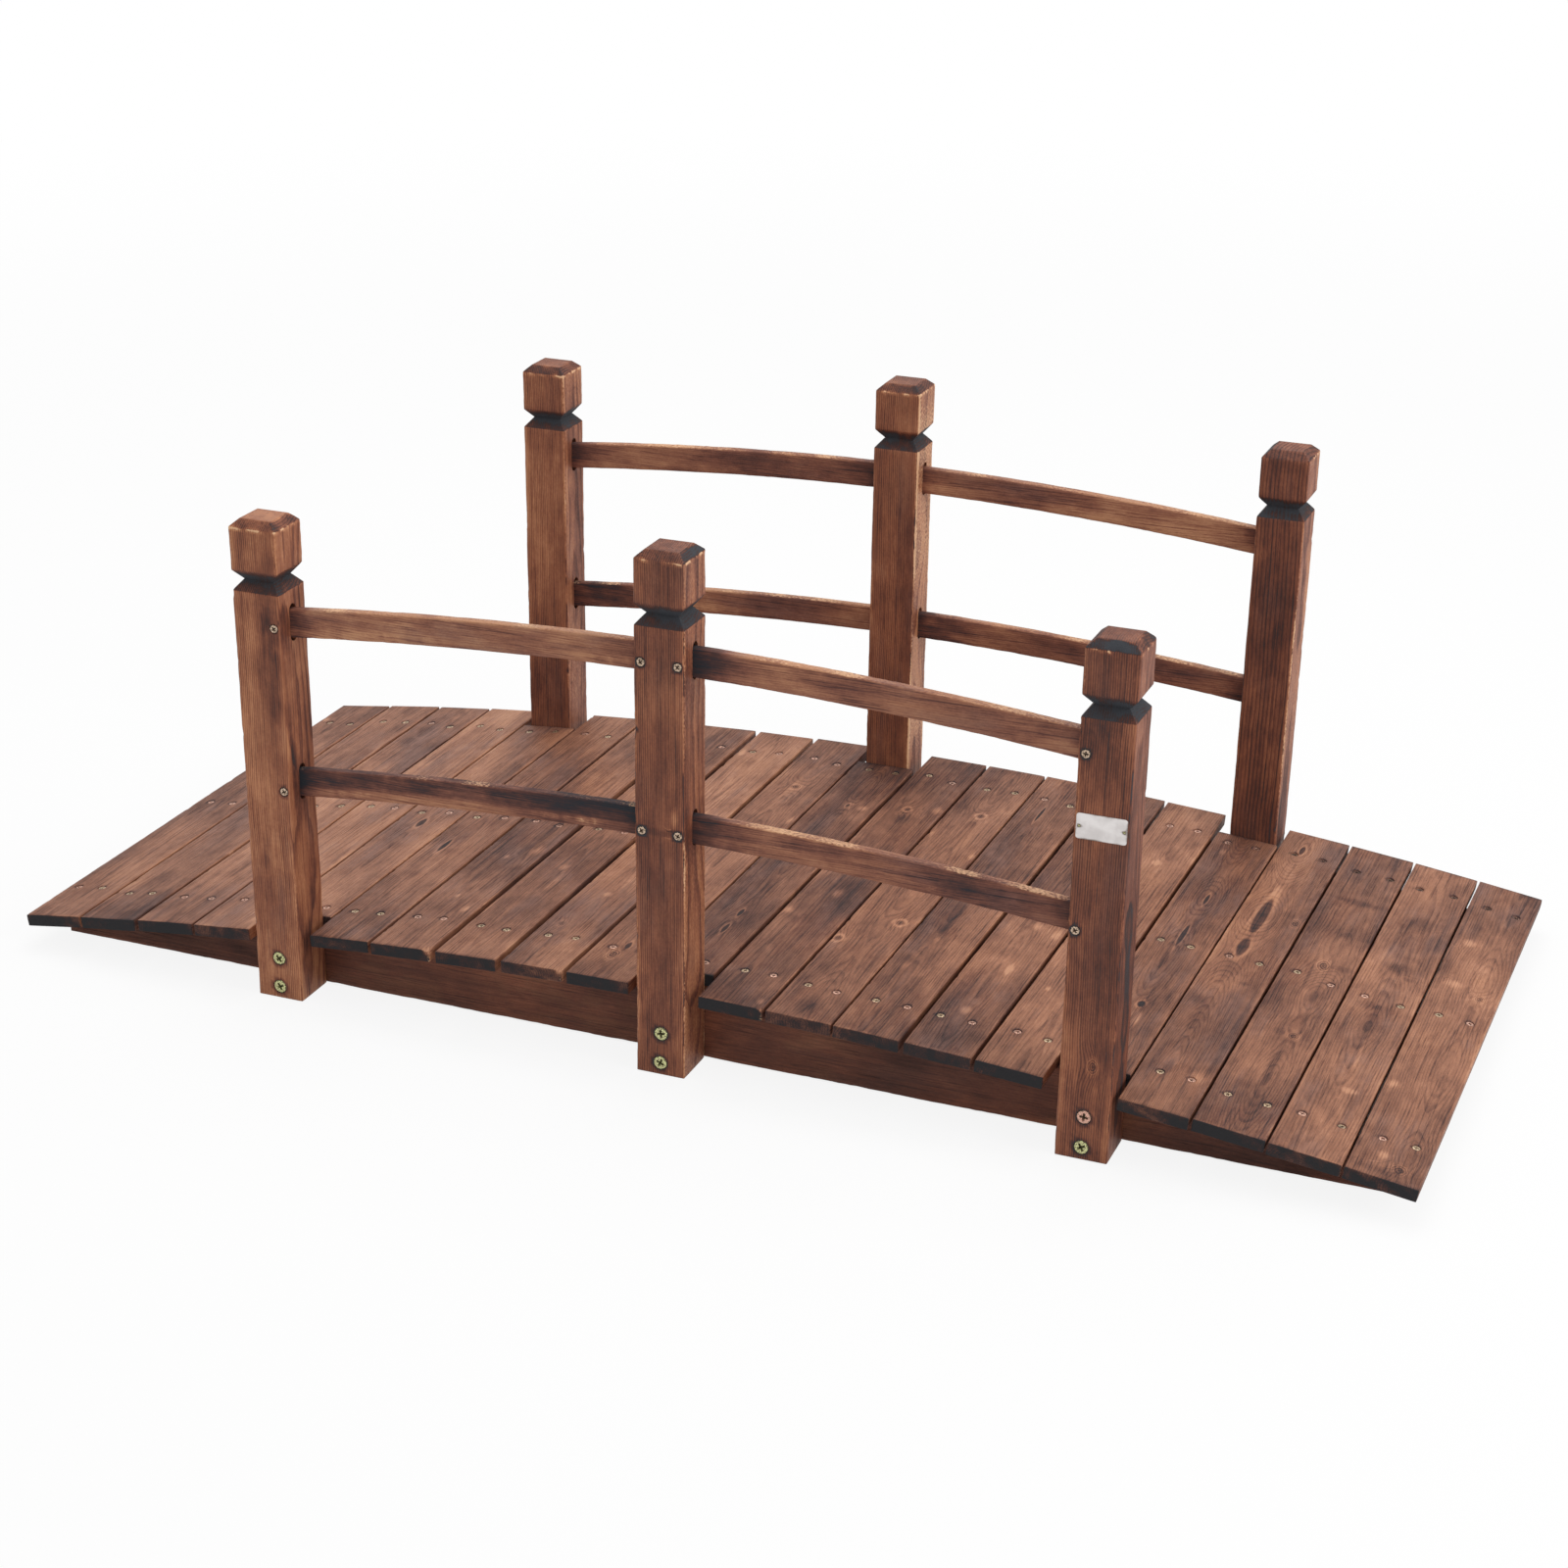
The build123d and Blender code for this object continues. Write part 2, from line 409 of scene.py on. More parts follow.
def along_curve(points, where):
    """A smooth curve through (place, value) points, level with its neighbours' slope at each."""
    x, y = np.array(sorted(points), float).T
    slope = np.gradient(y, x)
    where = np.clip(where, x[0], x[-1])
    low = np.clip(np.searchsorted(x, where) - 1, 0, len(x) - 2)
    span = x[low + 1] - x[low]
    t = (where - x[low]) / span
    rise = 2 * t**3 - 3 * t**2 + 1, t**3 - 2 * t**2 + t, -2 * t**3 + 3 * t**2, t**3 - t**2
    return rise[0] * y[low] + rise[1] * span * slope[low] + rise[2] * y[low + 1] + rise[3] * span * slope[low + 1]


def near(*shares):
    """1 at a spot, fading with distance; each distance is given as a share of its reach."""
    return np.exp(-sum(share**2 for share in shares))


def unit(values):
    return np.clip(values, 0, 1)


print("wander", [round(float(h), 2) for h in wander(1, [0, 10, 20], 10)])

# %% [markdown]
# ## Sawing a timber
# Planks, posts, rails and stringers are all the same kind of thing: a section run along a length. `section` draws it
# with eased corners, and `saw` repeats it at stations along the length, each drawn in by an inset. An inset makes a
# rounded end, a chamfer or a V groove, and once it reaches the middle it closes the end. All sizes are in
# millimetres: X across the face, Y along the grain, Z into the thickness.

# %% Sections and stations
face_stride, along_stride, eased_turns = 3.4, 4.6, np.radians([22.5, 45, 67.5])


def section(wide, deep, corner, stride):
    """Points round a rectangle with eased corners, a stride apart along its sides."""
    across, up = wide / 2 - corner, deep / 2 - corner
    columns = np.linspace(-across, across, max(2, round(2 * across / stride)) + 1)
    rows = np.linspace(-up, up, max(2, round(2 * up / stride)) + 1)
    points = []
    for quarter, run in enumerate((columns, rows[::-1], columns[::-1], rows)):
        sign = 1 if quarter < 2 else -1
        if quarter % 2 == 0:
            points += [(x, sign * (up + corner)) for x in run]
            centre, start = (sign * across, sign * up), sign * np.pi / 2
        else:
            points += [(sign * (across + corner), z) for z in run]
            centre, start = (sign * across, -sign * up), 0 if sign > 0 else np.pi
        for turn in start - eased_turns:
            points.append((centre[0] + corner * np.cos(turn), centre[1] + corner * np.sin(turn)))
    return np.array(points)


def saw(outline, stations):
    """The rings of a timber: the outline at each (along, inset) station."""
    half = np.abs(outline).max(axis=0)
    rings = []
    for along, inset in stations:
        limit = np.maximum(half - inset, 0)
        drawn = np.clip(outline, -limit, limit)
        rings.append(np.column_stack([drawn[:, 0], np.full(len(drawn), along), drawn[:, 1]]))
    return np.array(rings)


def stations(start, end, stride, eased, closing):
    """Even stations between two ends that are eased round and then closed by deeper and deeper insets."""
    cap = [(0.0, inset) for inset in closing[::-1]] + [(0.0, eased), (eased * 0.3, eased * 0.3), (eased, 0.0)]
    middle = np.linspace(start + eased, end - eased, max(2, round((end - start) / stride)))[1:-1]
    return [(start + a, i) for a, i in cap] + [(a, 0.0) for a in middle] + [(end - a, i) for a, i in cap[::-1]]


print("points round a plank", len(section(67.3, 13, 1.2, face_stride)))

# %% [markdown]
# ## Turning rings into a mesh
# Neighbouring rings are joined with four-sided faces. Countersinks and rail slots are then cut with a Boolean, as a
# drill and a router would, while the timber is still in its own straight frame.

# %% Mesh from rings, and cutting
MERGE, SLIVER = 0.004, 0.002


def mesh_of(name, rings):
    """Joins neighbouring rings, merges the points that an inset brought together and turns every face outward."""
    count, around = rings.shape[:2]
    index = np.arange(count * around).reshape(count, around)
    after = np.roll(index, -1, axis=1)
    faces = np.stack([index[:-1], after[:-1], after[1:], index[1:]], axis=-1).reshape(-1, 4)
    mesh = bpy.data.meshes.new(name)
    mesh.from_pydata(rings.reshape(-1, 3).tolist(), [], faces.tolist())
    work = bmesh.new()
    work.from_mesh(mesh)
    bmesh.ops.remove_doubles(work, verts=work.verts, dist=MERGE)
    bmesh.ops.dissolve_degenerate(work, edges=work.edges, dist=SLIVER)
    bmesh.ops.recalc_face_normals(work, faces=work.faces)
    work.to_mesh(mesh)
    work.free()
    return mesh


def cut(mesh, cutters):
    """The mesh with every cutter's space taken away."""
    tool_mesh = bpy.data.meshes.new("cutters")
    work = bmesh.new()
    for cutter in cutters:
        work.from_mesh(cutter)
    work.to_mesh(tool_mesh)
    work.free()
    timber, tool = added("timber_to_cut", mesh), added("cutters", tool_mesh)
    modifier = timber.modifiers.new("cut", "BOOLEAN")
    modifier.operation, modifier.solver, modifier.object = "DIFFERENCE", "EXACT", tool
    done = bpy.data.meshes.new_from_object(timber.evaluated_get(bpy.context.evaluated_depsgraph_get()))
    for thing in (timber, tool):
        bpy.data.objects.remove(thing)
    return done


def turned(profile, centre, axis, sides=28):
    """A closed turned shape: (radius, height) steps along an axis."""
    angles = np.linspace(0, 2 * np.pi, sides, endpoint=False)
    spin = Vector(axis).normalized().to_track_quat("Z", "Y").to_matrix()
    circle = [(math.cos(a), math.sin(a)) for a in angles]
    rings = [[spin @ Vector((r * x, r * y, h)) + Vector(centre) for x, y in circle] for r, h in profile]
    return mesh_of("turned", np.array(rings, float))


def countersink(spot, facing, head, rim, bore, cone, deep):
    """What a countersink bit takes away: a pilot hole, a cone, and a rim that opens through the face."""
    lip = [(head + 0.2, -0.9), (head + rim, 0.05), (head + rim + 0.2, 0.6), (0, 0.6)]
    return turned([(0, -deep), (bore, -deep), (bore, -cone), *lip], spot, facing)


small_bit = countersink((0, 0, 0), (0, 0, 1), 4, 0.7, 1.6, 3.6, 9)
print("the countersink for a deck screw has", len(small_bit.polygons), "faces")

# %% [markdown]
# ## Reading the log
# `Look` holds what a sawyer would note about one timber: where the heart of the tree lies under each length of it,
# how wide the rings are, its knots and scorched lenses, how bold its flames are, and how dark it came out.
# `lay_grain` works out the numbers that the shader needs for every vertex.

# %% Grain and finish on the vertices
bend_round = {PALE: 0.6, RING: 2.2, LENS: 1.2, SMUDGE: 0.3, SWIRL: 3.0}
far_off = 9.0


class Look:
    """A sawyer's notes on one timber; what isn't noted keeps the usual value below."""

    line, marks, tone, through, flame, beside, bold = 0.0, (), 0.0, "z", 15.0, 0.0, 1.0

    def __init__(self, seed, heart, ring, char, wear, **notes):
        self.seed, self.heart, self.ring, self.char, self.wear = seed, heart, ring, char, wear
        self.__dict__.update(notes)


def nearest_marks(across, along, marks):
    """For each point, where it lies in the nearest mark's own oval, that mark's kind, and how much it counts."""
    if not marks:
        return np.full((len(across), 2), far_off), np.zeros(len(across)), np.zeros(len(across))
    ovals = np.array([[(across - x) / rx, (along - y) / ry] for x, y, rx, ry, _ in marks])
    far = np.hypot(ovals[:, 0], ovals[:, 1])
    order = np.argsort(far, axis=0)
    pick = np.arange(len(across))
    closest = far[order[0], pick]
    gap = far[order[1], pick] - closest if len(marks) > 1 else far_off
    # A mark counts fully within three of its own radii, and fades where another is as near
    share = unit((4.2 - closest) / 1.2) * unit(gap / 0.8)
    return ovals[order[0], :, pick], np.array([m[4] for m in marks])[order[0]], share


def points_of(mesh):
    points = np.empty(len(mesh.vertices) * 3)
    mesh.vertices.foreach_get("co", points)
    return points.reshape(-1, 3)


def store(mesh, name, *columns):
    """Writes one number, or three side by side, on every vertex."""
    values = np.empty((len(mesh.vertices), len(columns)), np.float32)
    for place, column in enumerate(columns):
        values[:, place] = column
    kind, field = ("FLOAT", "value") if len(columns) == 1 else ("FLOAT_VECTOR", "vector")
    mesh.attributes.new(name, kind, "POINT").data.foreach_set(field, values.ravel())


def lay_grain(mesh, look):
    """Stores the log's numbers on a timber's vertices, which are still in its own frame in millimetres."""
    points = points_of(mesh)
    across, along, into = points.T
    face, depth = (across, into) if look.through == "z" else (into, across)
    line = look.line + 1.6 * wander(look.seed, along, 120) + 0.5 * wander(look.seed + 1, along, 34)
    heart = along_curve(look.heart, along) + 0.3 * wander(look.seed + 2, along, 60)
    rings = np.hypot(face - line, depth + heart) / look.ring
    for x, y, rx, ry, kind in look.marks:
        rings = rings + bend_round[kind] * near((face - x) / (1.9 * rx), (along - y) / (2.1 * ry))
    ovals, kinds, share = nearest_marks(face, along, look.marks)
    shift = np.random.default_rng(look.seed).uniform(-3, 3, 3)
    # Rings lie flat to the face over the heart, most where it is less than 18 mm deep
    flat_sawn = look.bold * np.clip((30 - heart) / 12, 0.1, 1) * near((face - line) / look.flame)
    store(mesh, "board", *(points * MM + shift).T)
    store(mesh, "rings", rings)
    store(mesh, "flame", np.maximum(flat_sawn, look.beside * near((depth + heart) / 13)))
    store(mesh, "mark_at", *ovals.T, 0)
    store(mesh, "mark_kind", kinds)
    store(mesh, "mark_share", share)
    store(mesh, "finish", look.char(points), look.wear(points), look.tone)


print("rings bend by", bend_round)

# %% [markdown]
# ## Setting a piece in place
# Every mesh is made in its timber's own straight frame, then moved to its place: it rides on the one body of the
# bridge and takes the place of its CAD node, which is hidden. Points are kept within the CAD box.

# %% Setting in place
SHARP = math.radians(38)
triangles = {}


def set_in_place(name, mesh, place, material, slot, *nodes):
    """Moves a finished mesh from its own frame to its place on the bridge and adds it to the scene as a piece."""
    world_points = np.clip(place(points_of(mesh)) * MM, *np.array(cad_box))
    mesh.vertices.foreach_set("co", world_points.astype(np.float32).ravel())
    work = bmesh.new()
    work.from_mesh(mesh)
    bmesh.ops.recalc_face_normals(work, faces=work.faces)
    work.to_mesh(mesh)
    work.free()
    mesh.polygons.foreach_set("use_smooth", np.ones(len(mesh.polygons), bool))
    mesh.set_sharp_from_angle(angle=SHARP)
    mesh.materials.clear()
    mesh.materials.append(material)
    piece = added(name, mesh)
    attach(piece, "root")
    if nodes:
        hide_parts(*nodes)
    mesh.calc_loop_triangles()
    triangles[name] = len(mesh.loop_triangles)


def set_timber(node, mesh, place, slot, look):
    lay_grain(mesh, look)
    set_in_place(f"{node}_torched", mesh, place, woods[slot], slot, node)


def shifted(axes, offset, signs=(1, 1, 1)):
    """A place for timbers that lie along other axes of the bridge than their own."""
    return lambda points: points[:, axes] * signs + offset


def middle_of(node):
    """The middle of a node's box, in millimetres."""
    return [(low + high) / 2 / MM for low, high in zip(*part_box(node))]


print("the plate's middle is at", [round(c, 1) for c in middle_of("plate_front_right")])

# %% [markdown]
# ## Deck planks
# Twenty-one flat boards cross the arch, laid by hand with gaps that vary. Each is tangent to the arch at its middle.
# Their sawn ends are charred nearly black, and their top edges are eased and a little ragged. The flames, knots and
# lenses of the real planks are listed as (x, y, half width, half length, kind) on each board.

# %% Where the planks lie
plank_width, plank_thickness = 67.3, 13.0
plank_gaps = (3.5, 4.5, 3.5, 3.5, 3, 4.5, 7.5, 7, 6, 3, 5.5, 4, 3, 5.5, 4.5, 4.5, 3.5, 5.5, 5, 5)
deck_radius, crown = 4975.0, 93.0
half_arc = (21 * plank_width + sum(plank_gaps)) / 2
plank_places = [plank_width * (n + 0.5) + sum(plank_gaps[:n]) - half_arc for n in range(21)]
short_planks = (5, 11, 17)
half_plank = {number: 297.7 if number in short_planks else 347.0 for number in range(1, 22)}


def on_the_arch(place):
    """Turns a plank's own frame, top face at zero, to its place on the arch."""
    angle = place / deck_radius
    sine, cosine = math.sin(angle), math.cos(angle)

    def move(points):
        across, along, up = points.T
        x = deck_radius * sine + across * cosine + up * sine
        z = crown - deck_radius + deck_radius * cosine - across * sine + up * cosine
        return np.column_stack([x, along, z])

    return move


print("planks from", round(plank_places[0], 1), "to", round(plank_places[-1], 1), "mm along the arch")


# %% What each plank looks like
def log(tone, line, depths, *marks, ring=2.6, bold=1.0, ends=347):
    """One plank. Of the depths of the tree's heart, the first and last lie at its ends, the others at a place."""
    first, *between, last = depths
    heart = [(-ends, first), *between, (ends, last)]
    return dict(tone=tone, line=line, heart=heart, marks=marks, ring=ring, bold=bold)


plank_notes = {
    1: log(0.04, -6, [26, (-100, 20), (90, 30), 22], (-27, 291, 4, 6, PALE)),
    2: log(0.0, -30, [30, (0, 24), 34]),
    3: log(-0.1, 4, [22, (60, 16), (190, 21), (245, 15), 24], (-10, 255, 5, 16, SMUDGE),
        (-12, 222, 6, 12, SMUDGE)),
    4: log(-0.2, 26, [30, (0, 40), 28]),
    5: log(-0.07, -4, [20, (-60, 14), (-20, 19), (60, 15), 27], (-2, -30, 4, 13, LENS)),
    6: log(0.0, -4, [26, (-120, 18), (-86, 17), (0, 23), 32], (-13, -86, 3, 18, LENS),
        (-6, -165, 3, 9, SMUDGE)),
    7: log(0.03, 14, [20, (0, 26), 36], (23.7, -73, 7, 14, PALE), (-2, -98, 3, 5, PALE),
        (-4, -210, 2.5, 5, PALE), (20, -240, 4, 8, PALE)),
    8: log(0.02, -3, [24, (-110, 17), (-40, 25), 30], (-4, -106, 5, 8, PALE), (4, -150, 3, 22, PALE)),
    9: log(-0.12, -6, [18, (-240, 14), (-190, 20), (60, 27), (273, 22), 28], (-27, 273, 5, 8, PALE),
        (-2.4, -158, 5, 6, PALE), (-16, -241, 5, 9, SWIRL), (-4, 246, 3, 8, SMUDGE)),
    10: log(0.02, -2, [15, (-291, 10), (-230, 19), (50, 14), (90, 22), 25], (-2.7, 195, 7, 9, SWIRL),
        (-7.7, -291, 8, 14, SWIRL), (-2, -268, 3, 10, LENS), (28, 100, 3, 10, PALE)),
    11: log(0.12, 2, [27, (-240, 15), (-95, 26), (100, 13), (160, 17), (223, 12), 26], (20, 164, 6, 8, PALE),
        (2, 166, 3, 8, RING), (2, -148, 2.5, 10, LENS), (2, -190, 2.5, 12, LENS), ring=2.0, ends=298),
    12: log(0.13, -14, [24, (0, 32), 26], (-5.8, 183, 5, 8, RING), (26.2, 193, 6, 10, PALE),
        (-27.8, -122, 4.5, 9, PALE), (4, -62, 6, 12, PALE), (26, -331, 3, 6, PALE), (-4, 158, 8, 10, SMUDGE)),
    13: log(0.08, 2, [12, (-300, 17), (-200, 34), (-60, 24), (-20, 18), (150, 28), (322, 13), 18],
        (3.9, 201, 6.5, 9, RING), (16.9, -101, 7, 9, RING), (-28.1, -163, 6, 9, RING),
        (-2, -318, 7, 14, SMUDGE), (30, 91, 3, 9, PALE), (-30, 132, 2.5, 14, PALE), ring=2.9),
    14: log(0.06, -8, [22, (-180, 14), (-130, 19), (-60, 13), 22], (-19.4, -177, 6, 7, SMUDGE),
        (-8.4, 236, 1.6, 22, LENS), (-7, -90, 2.5, 22, SMUDGE), (-6, -120, 3, 10, PALE)),
    15: log(0.05, -2, [24, (-160, 14), (-60, 20), 30], (3.8, -41, 7, 9, PALE), (28, -50, 5, 14, PALE),
        (-2, -255, 5, 9, PALE), (8, -150, 3, 14, PALE)),
    16: log(0.05, 8, [28, (-200, 34), (60, 28), 22], (-1, 178, 5, 7, PALE), (8, -340, 2, 22, SMUDGE),
        (-16, -170, 3, 6, PALE)),
    17: log(0.04, -0.8, [10, (-200, 32), (-152, 28), (-20, 17), (60, 28), (120, 16), (190, 32), 11],
        (-14.8, 245, 5, 9, PALE), (3.2, -152, 4.5, 8, LENS), (-0.8, 20, 2.4, 28, LENS),
        (-0.8, 118, 2, 14, LENS), (8, -185, 2.5, 20, PALE), ring=2.1, bold=1.5, ends=298),
    18: log(0.01, -9.6, [6, (-290, 9), (-60, 36), (20, 46), (60, 40), (109, 28), (190, 44), (300, 20), 26],
        (-9.6, 109, 6.2, 50, LENS), (-9.6, 30, 6, 26, LENS), (-9.6, 300, 3, 12, LENS),
        (26.4, 114, 7, 12, SWIRL), (12.4, -52, 3, 3, SMUDGE), (22.4, -264, 9, 14, PALE),
        (-9.6, -262, 3, 9, SMUDGE), (-20, -112, 4, 8, SMUDGE), ring=1.8, bold=1.8),
    19: log(0.05, 8, [30, (-215, 10), (-160, 20), (-132, 14), (-90, 24), (-36, 16), (36, 34), (120, 42), 48],
        (1.6, 36, 8, 16, SWIRL), (9.6, -36, 5, 10, SMUDGE), (9.6, -132, 7, 10, SWIRL),
        (5.6, -215, 3.5, 30, SMUDGE), (-6, -130, 4, 5, SMUDGE), (0, 130, 22, 12, SMUDGE),
        (2, 205, 16, 5, SMUDGE), (20, 40, 8, 5, SMUDGE), ring=2.5, bold=1.4),
    20: log(-0.05, -3, [36, (-110, 20), (-66, 12), (-20, 20), (100, 34), 44], (-1.7, -66, 5, 40, SMUDGE),
        (-1.7, 195, 9, 13, SMUDGE), (6, 80, 12, 10, SMUDGE), (-6, -22, 10, 9, SMUDGE), (10, -206, 9, 6, PALE),
        (14, 60, 5, 4, SMUDGE)),
    21: log(0.02, 12, [12, (-323, 9), (-240, 26), (-100, 16), (40, 24), (64, 18), (200, 30), 26],
        (-18, 186, 7, 9, PALE), (-15, 81, 8, 9, PALE), (-28, -166, 8, 9, PALE), (-9, -304, 5, 8, PALE),
        (15, 64, 6, 10, SWIRL), (10, -323, 9, 12, SWIRL), (0, -333, 14, 6, SMUDGE), (-30, 110, 5, 24, SMUDGE),
        ring=2.6),
}
plank_chips = {  # across and along the plank, reach, depth
    2: (33, -150, 5, 1), 7: (33, -347, 9, 2), 9: (32, -347, 7, 1.8), 12: (33, -347, 6, 2), 13: (-33, 132, 4, 1.6),
}
brown_ends = {9: 0.7, 13: 0.5, 14: 0.6, 15: 0.7, 17: 0.7, 18: 0.8}
swollen_left = {18: 0.9, 19: 2.0, 20: 1.9, 21: 2.0}
print("planks described by hand:", len(plank_notes))

# %% Deck screws: two through each plank into each stringer
deck_head = 4.0
front_spots = {  # left and right screw across the plank, and how far along it the pair lies
    1: (-20.8, 9.4, -266), 2: (-17.3, 9.7, -275), 3: (-17.8, 16.2, -277), 6: (-19.4, 10.9, -276),
    7: (-18.4, 10.1, -270), 8: (-18.8, 11.2, -273), 9: (-16.5, 13.6, -270), 12: (-14.3, 15.9, -271),
    13: (-16.8, 14.2, -277), 14: (-15.1, 17.3, -276), 15: (-20.8, 11.5, -275), 16: (-15.5, 15.9, -273),
    18: (-14.0, 16.6, -275), 19: (-18.7, 19.4, -280), 20: (-20.0, 18.3, -275), 21: (-15.2, 16.2, -272),
}
shake = np.random.default_rng(5)
screw_spots = {}
for number in range(1, 22):
    left, outer, row = front_spots.get(number, (-15.5, 15.5, -274))
    spread = 18.5 if number in (19, 20) else 15.8
    spots = [(left, row + shake.uniform(-2, 2)), (outer, row + shake.uniform(-2, 2))]
    for stringer in (2, 279 if number in short_planks else 282):
        lean = shake.uniform(-2.5, 2.5)
        spots += [(lean + x, stringer + shake.uniform(-6, 7)) for x in (-spread, spread)]
    screw_spots[number] = spots
print("deck screws", sum(len(spots) for spots in screw_spots.values()))

# %% [markdown]
# A board's edge is never a ruled line: the saw wanders, splinters leave, and the brush rounds what stands out.
# `weather` moves the rings' points a little before they become a mesh, and `chip` bites a small piece from an edge.

# %% Weathering
def weather(rings, seed, amount):
    """Lets every long line of a timber waver by up to about this many millimetres, corners most of all."""
    across, along, into = rings[..., 0], rings[..., 1], rings[..., 2]
    half_wide, half_deep = np.abs(across).max(), np.abs(into).max()
    for corner, (side, face) in enumerate(((-1, -1), (-1, 1), (1, -1), (1, 1))):
        rub = near((across - side * half_wide) / 3, (into - face * half_deep) / 3)
        rub = rub * (0.5 + 0.5 * wander(seed + corner, along, 23))
        rub = rub * (0.6 + 0.4 * wander(seed + 7 + corner, along, 6))
        rings[..., 0] -= side * rub * amount
        rings[..., 2] -= face * rub * amount
    rings[..., 0] += 0.4 * amount * wander(seed + 11, along, 90) * np.abs(across) / half_wide
    rings[..., 2] += 0.25 * amount * wander(seed + 12, along, 140) * (across / half_wide)
    return rings


def chip(points, spot, reach, depth, inward):
    """Pulls the points within reach of a spot inward, deepest at the spot."""
    away = np.linalg.norm(points - np.array(spot), axis=-1) / reach
    bite = depth * unit(1 - away**2) ** 1.5
    points += bite[..., None] * np.array(inward, float)


waver = weather(saw(section(60, 13, 1, 4), [(a, 0) for a in range(0, 300, 5)]), 0, 0.3)[..., 0].max(axis=1)
print("a plank's edge wavers by", round(float(np.ptp(waver)), 2), "mm")


# %% Char and wear of a plank
def plank_char_and_shade(number):
    """Sawn ends are charcoal, the underside is scorched, and a dark rim round each screw is partly stain, partly
    painted shade.
    """
    def char(points):
        across, along, up = points.T
        to_end = np.abs(along) - np.where(along < 0, -along.min(), along.max())
        end = unit(to_end + 1.5) * brown_ends.get(number, 0.95)
        end = end * (1 - 0.4 * unit(wander(number + 30, across + 3 * up, 14) - 0.1))
        side = unit(np.abs(across) - plank_width / 2 + 1.2) * unit((-up - 0.6) / 2) * 0.02
        under = unit((-up - 11.5) / 1.2) * 0.35
        scorch = 0.12 * unit((to_end + 60) / 60) * unit(wander(number + 40, across, 20) + 0.2)
        # Partly a stain and partly painted shade: a dark rim on each screw's countersink
        rim = sum(
            0.42 * near((np.hypot(across - x + 0.7, along - y - 0.5) - deck_head - 0.3) / 0.8)
            for x, y in screw_spots[number]
        )
        return np.maximum.reduce([end, side, under, scorch, rim])

    return char


def plank_wear(number):
    """Pale lip along the top edges and ends, where brush and feet rubbed the char away, stronger in places."""
    def wear(points):
        across, along, up = points.T
        along_edge = 0.25 + 0.6 * wander(number + 60, along + 500 * np.sign(across), 45)
        at_edge = near((np.abs(across) - plank_width / 2) / 1.3) * along_edge
        at_end = near((np.abs(along) - half_plank[number]) / 3.0) * (0.5 + 0.5 * wander(number + 80, across, 11))
        worn = unit(np.maximum(at_edge, at_end)) * unit((up + 2) / 1.5)
        if number in plank_chips:
            x, y, reach, _ = plank_chips[number]
            worn = np.maximum(worn, 1.3 * unit(1 - np.hypot(across - x, along - y) / (1.3 * reach)))
        return worn

    return wear


print("planks with a chip:", sorted(plank_chips))

# %% Build the planks
# Every timber draws its random numbers from seeds of its own, so a change to one leaves the others as they are
saw_spare, heart_share, ring_share, darker, plank_nicks = 0.6, 0.62, 0.92, 0.04, 16
for number, place in enumerate(plank_places, 1):
    node, half, notes = f"plank_{number:02d}", half_plank[number], plank_notes[number]
    trim, skew = (0, 0), (0, 0)
    if number not in short_planks:
        trim = np.random.default_rng(300 + number).uniform(-1.2, 0.6, 2)
        skew = np.random.default_rng(600 + number).uniform(-0.012, 0.012, 2)
    closing = (1.5, 3, 4.5, plank_thickness / 2)
    outline = section(plank_width + saw_spare, plank_thickness, 1.0, face_stride)
    rings = saw(outline, stations(-half - trim[0], half + trim[1], along_stride, 1.1, closing))
    rings = weather(rings, 10 * number, 0.3)
    across, along = rings[..., 0], rings[..., 1]
    across -= swollen_left.get(number, 0) * unit(-across / plank_width * 2)
    rings[..., 2] -= plank_thickness / 2
    along += np.where(along < 0, *skew) * across * unit((np.abs(along) - 250) / 90)
    nicks = np.random.default_rng(900 + number)
    for _ in range(plank_nicks):
        side = nicks.choice((-1, 1))
        spot = (side * plank_width / 2, nicks.uniform(-half, half), 0)
        chip(rings, spot, nicks.uniform(2.5, 6), nicks.uniform(0.3, 0.8), (-side * 0.6, 0, -0.8))
    if number in plank_chips:
        x, y, reach, depth = plank_chips[number]
        chip(rings, (x, y, 0), reach, depth, (-np.sign(x) * 0.5, 0.6, -0.9))
    bits = [countersink((x, y, 0), (0, 0, 1), deck_head, 0.7, 1.6, 3.6, 9) for x, y in screw_spots[number]]
    heart = [(spot, heart_share * deep) for spot, deep in notes["heart"]]
    look = Look(
        1000 + number, heart, ring_share * notes["ring"],
        plank_char_and_shade(number), plank_wear(number),
        line=notes["line"], marks=notes["marks"], tone=notes["tone"] + darker, bold=notes["bold"],
    )
    set_timber(node, cut(mesh_of(f"{node}_torched", rings), bits), on_the_arch(place), "deck_wood", look)
print("planks:", sum(triangles.values()), "triangles")

# %% [markdown]
# ## Stringers
# Three boards on edge carry the deck: straight underneath, arched on top and cut square at the ends. They are the
# same fir but darker, because they were torched on every side. The section keeps its rounded corners while its
# height follows the arch.

# %% Build the stringers
under_deck, stringer_short, stringer_wide, stringer_stock = 13.2, 20, 38, 80
half_stringer = deck_radius * math.sin(half_arc / deck_radius) - stringer_short


def stringer_height(along):
    return crown - deck_radius + np.sqrt((deck_radius - under_deck) ** 2 - along**2)


def stringer_char(points):
    across, along, up = points.T
    end = unit((np.abs(along) - half_stringer + 1.5) / 1.2)
    outer_end = 0.3 * unit((along - 430) / 200) + 0.12 * unit((-along - 430) / 200)
    return np.maximum(end, outer_end + 0.12 * unit(wander(77, along, 70)))


def stringer_wear(points):
    across, along, up = points.T
    return unit(near(up / 2.2) * unit((np.abs(across) - 16) / 2) * (0.4 + 0.6 * wander(78, along, 40)))


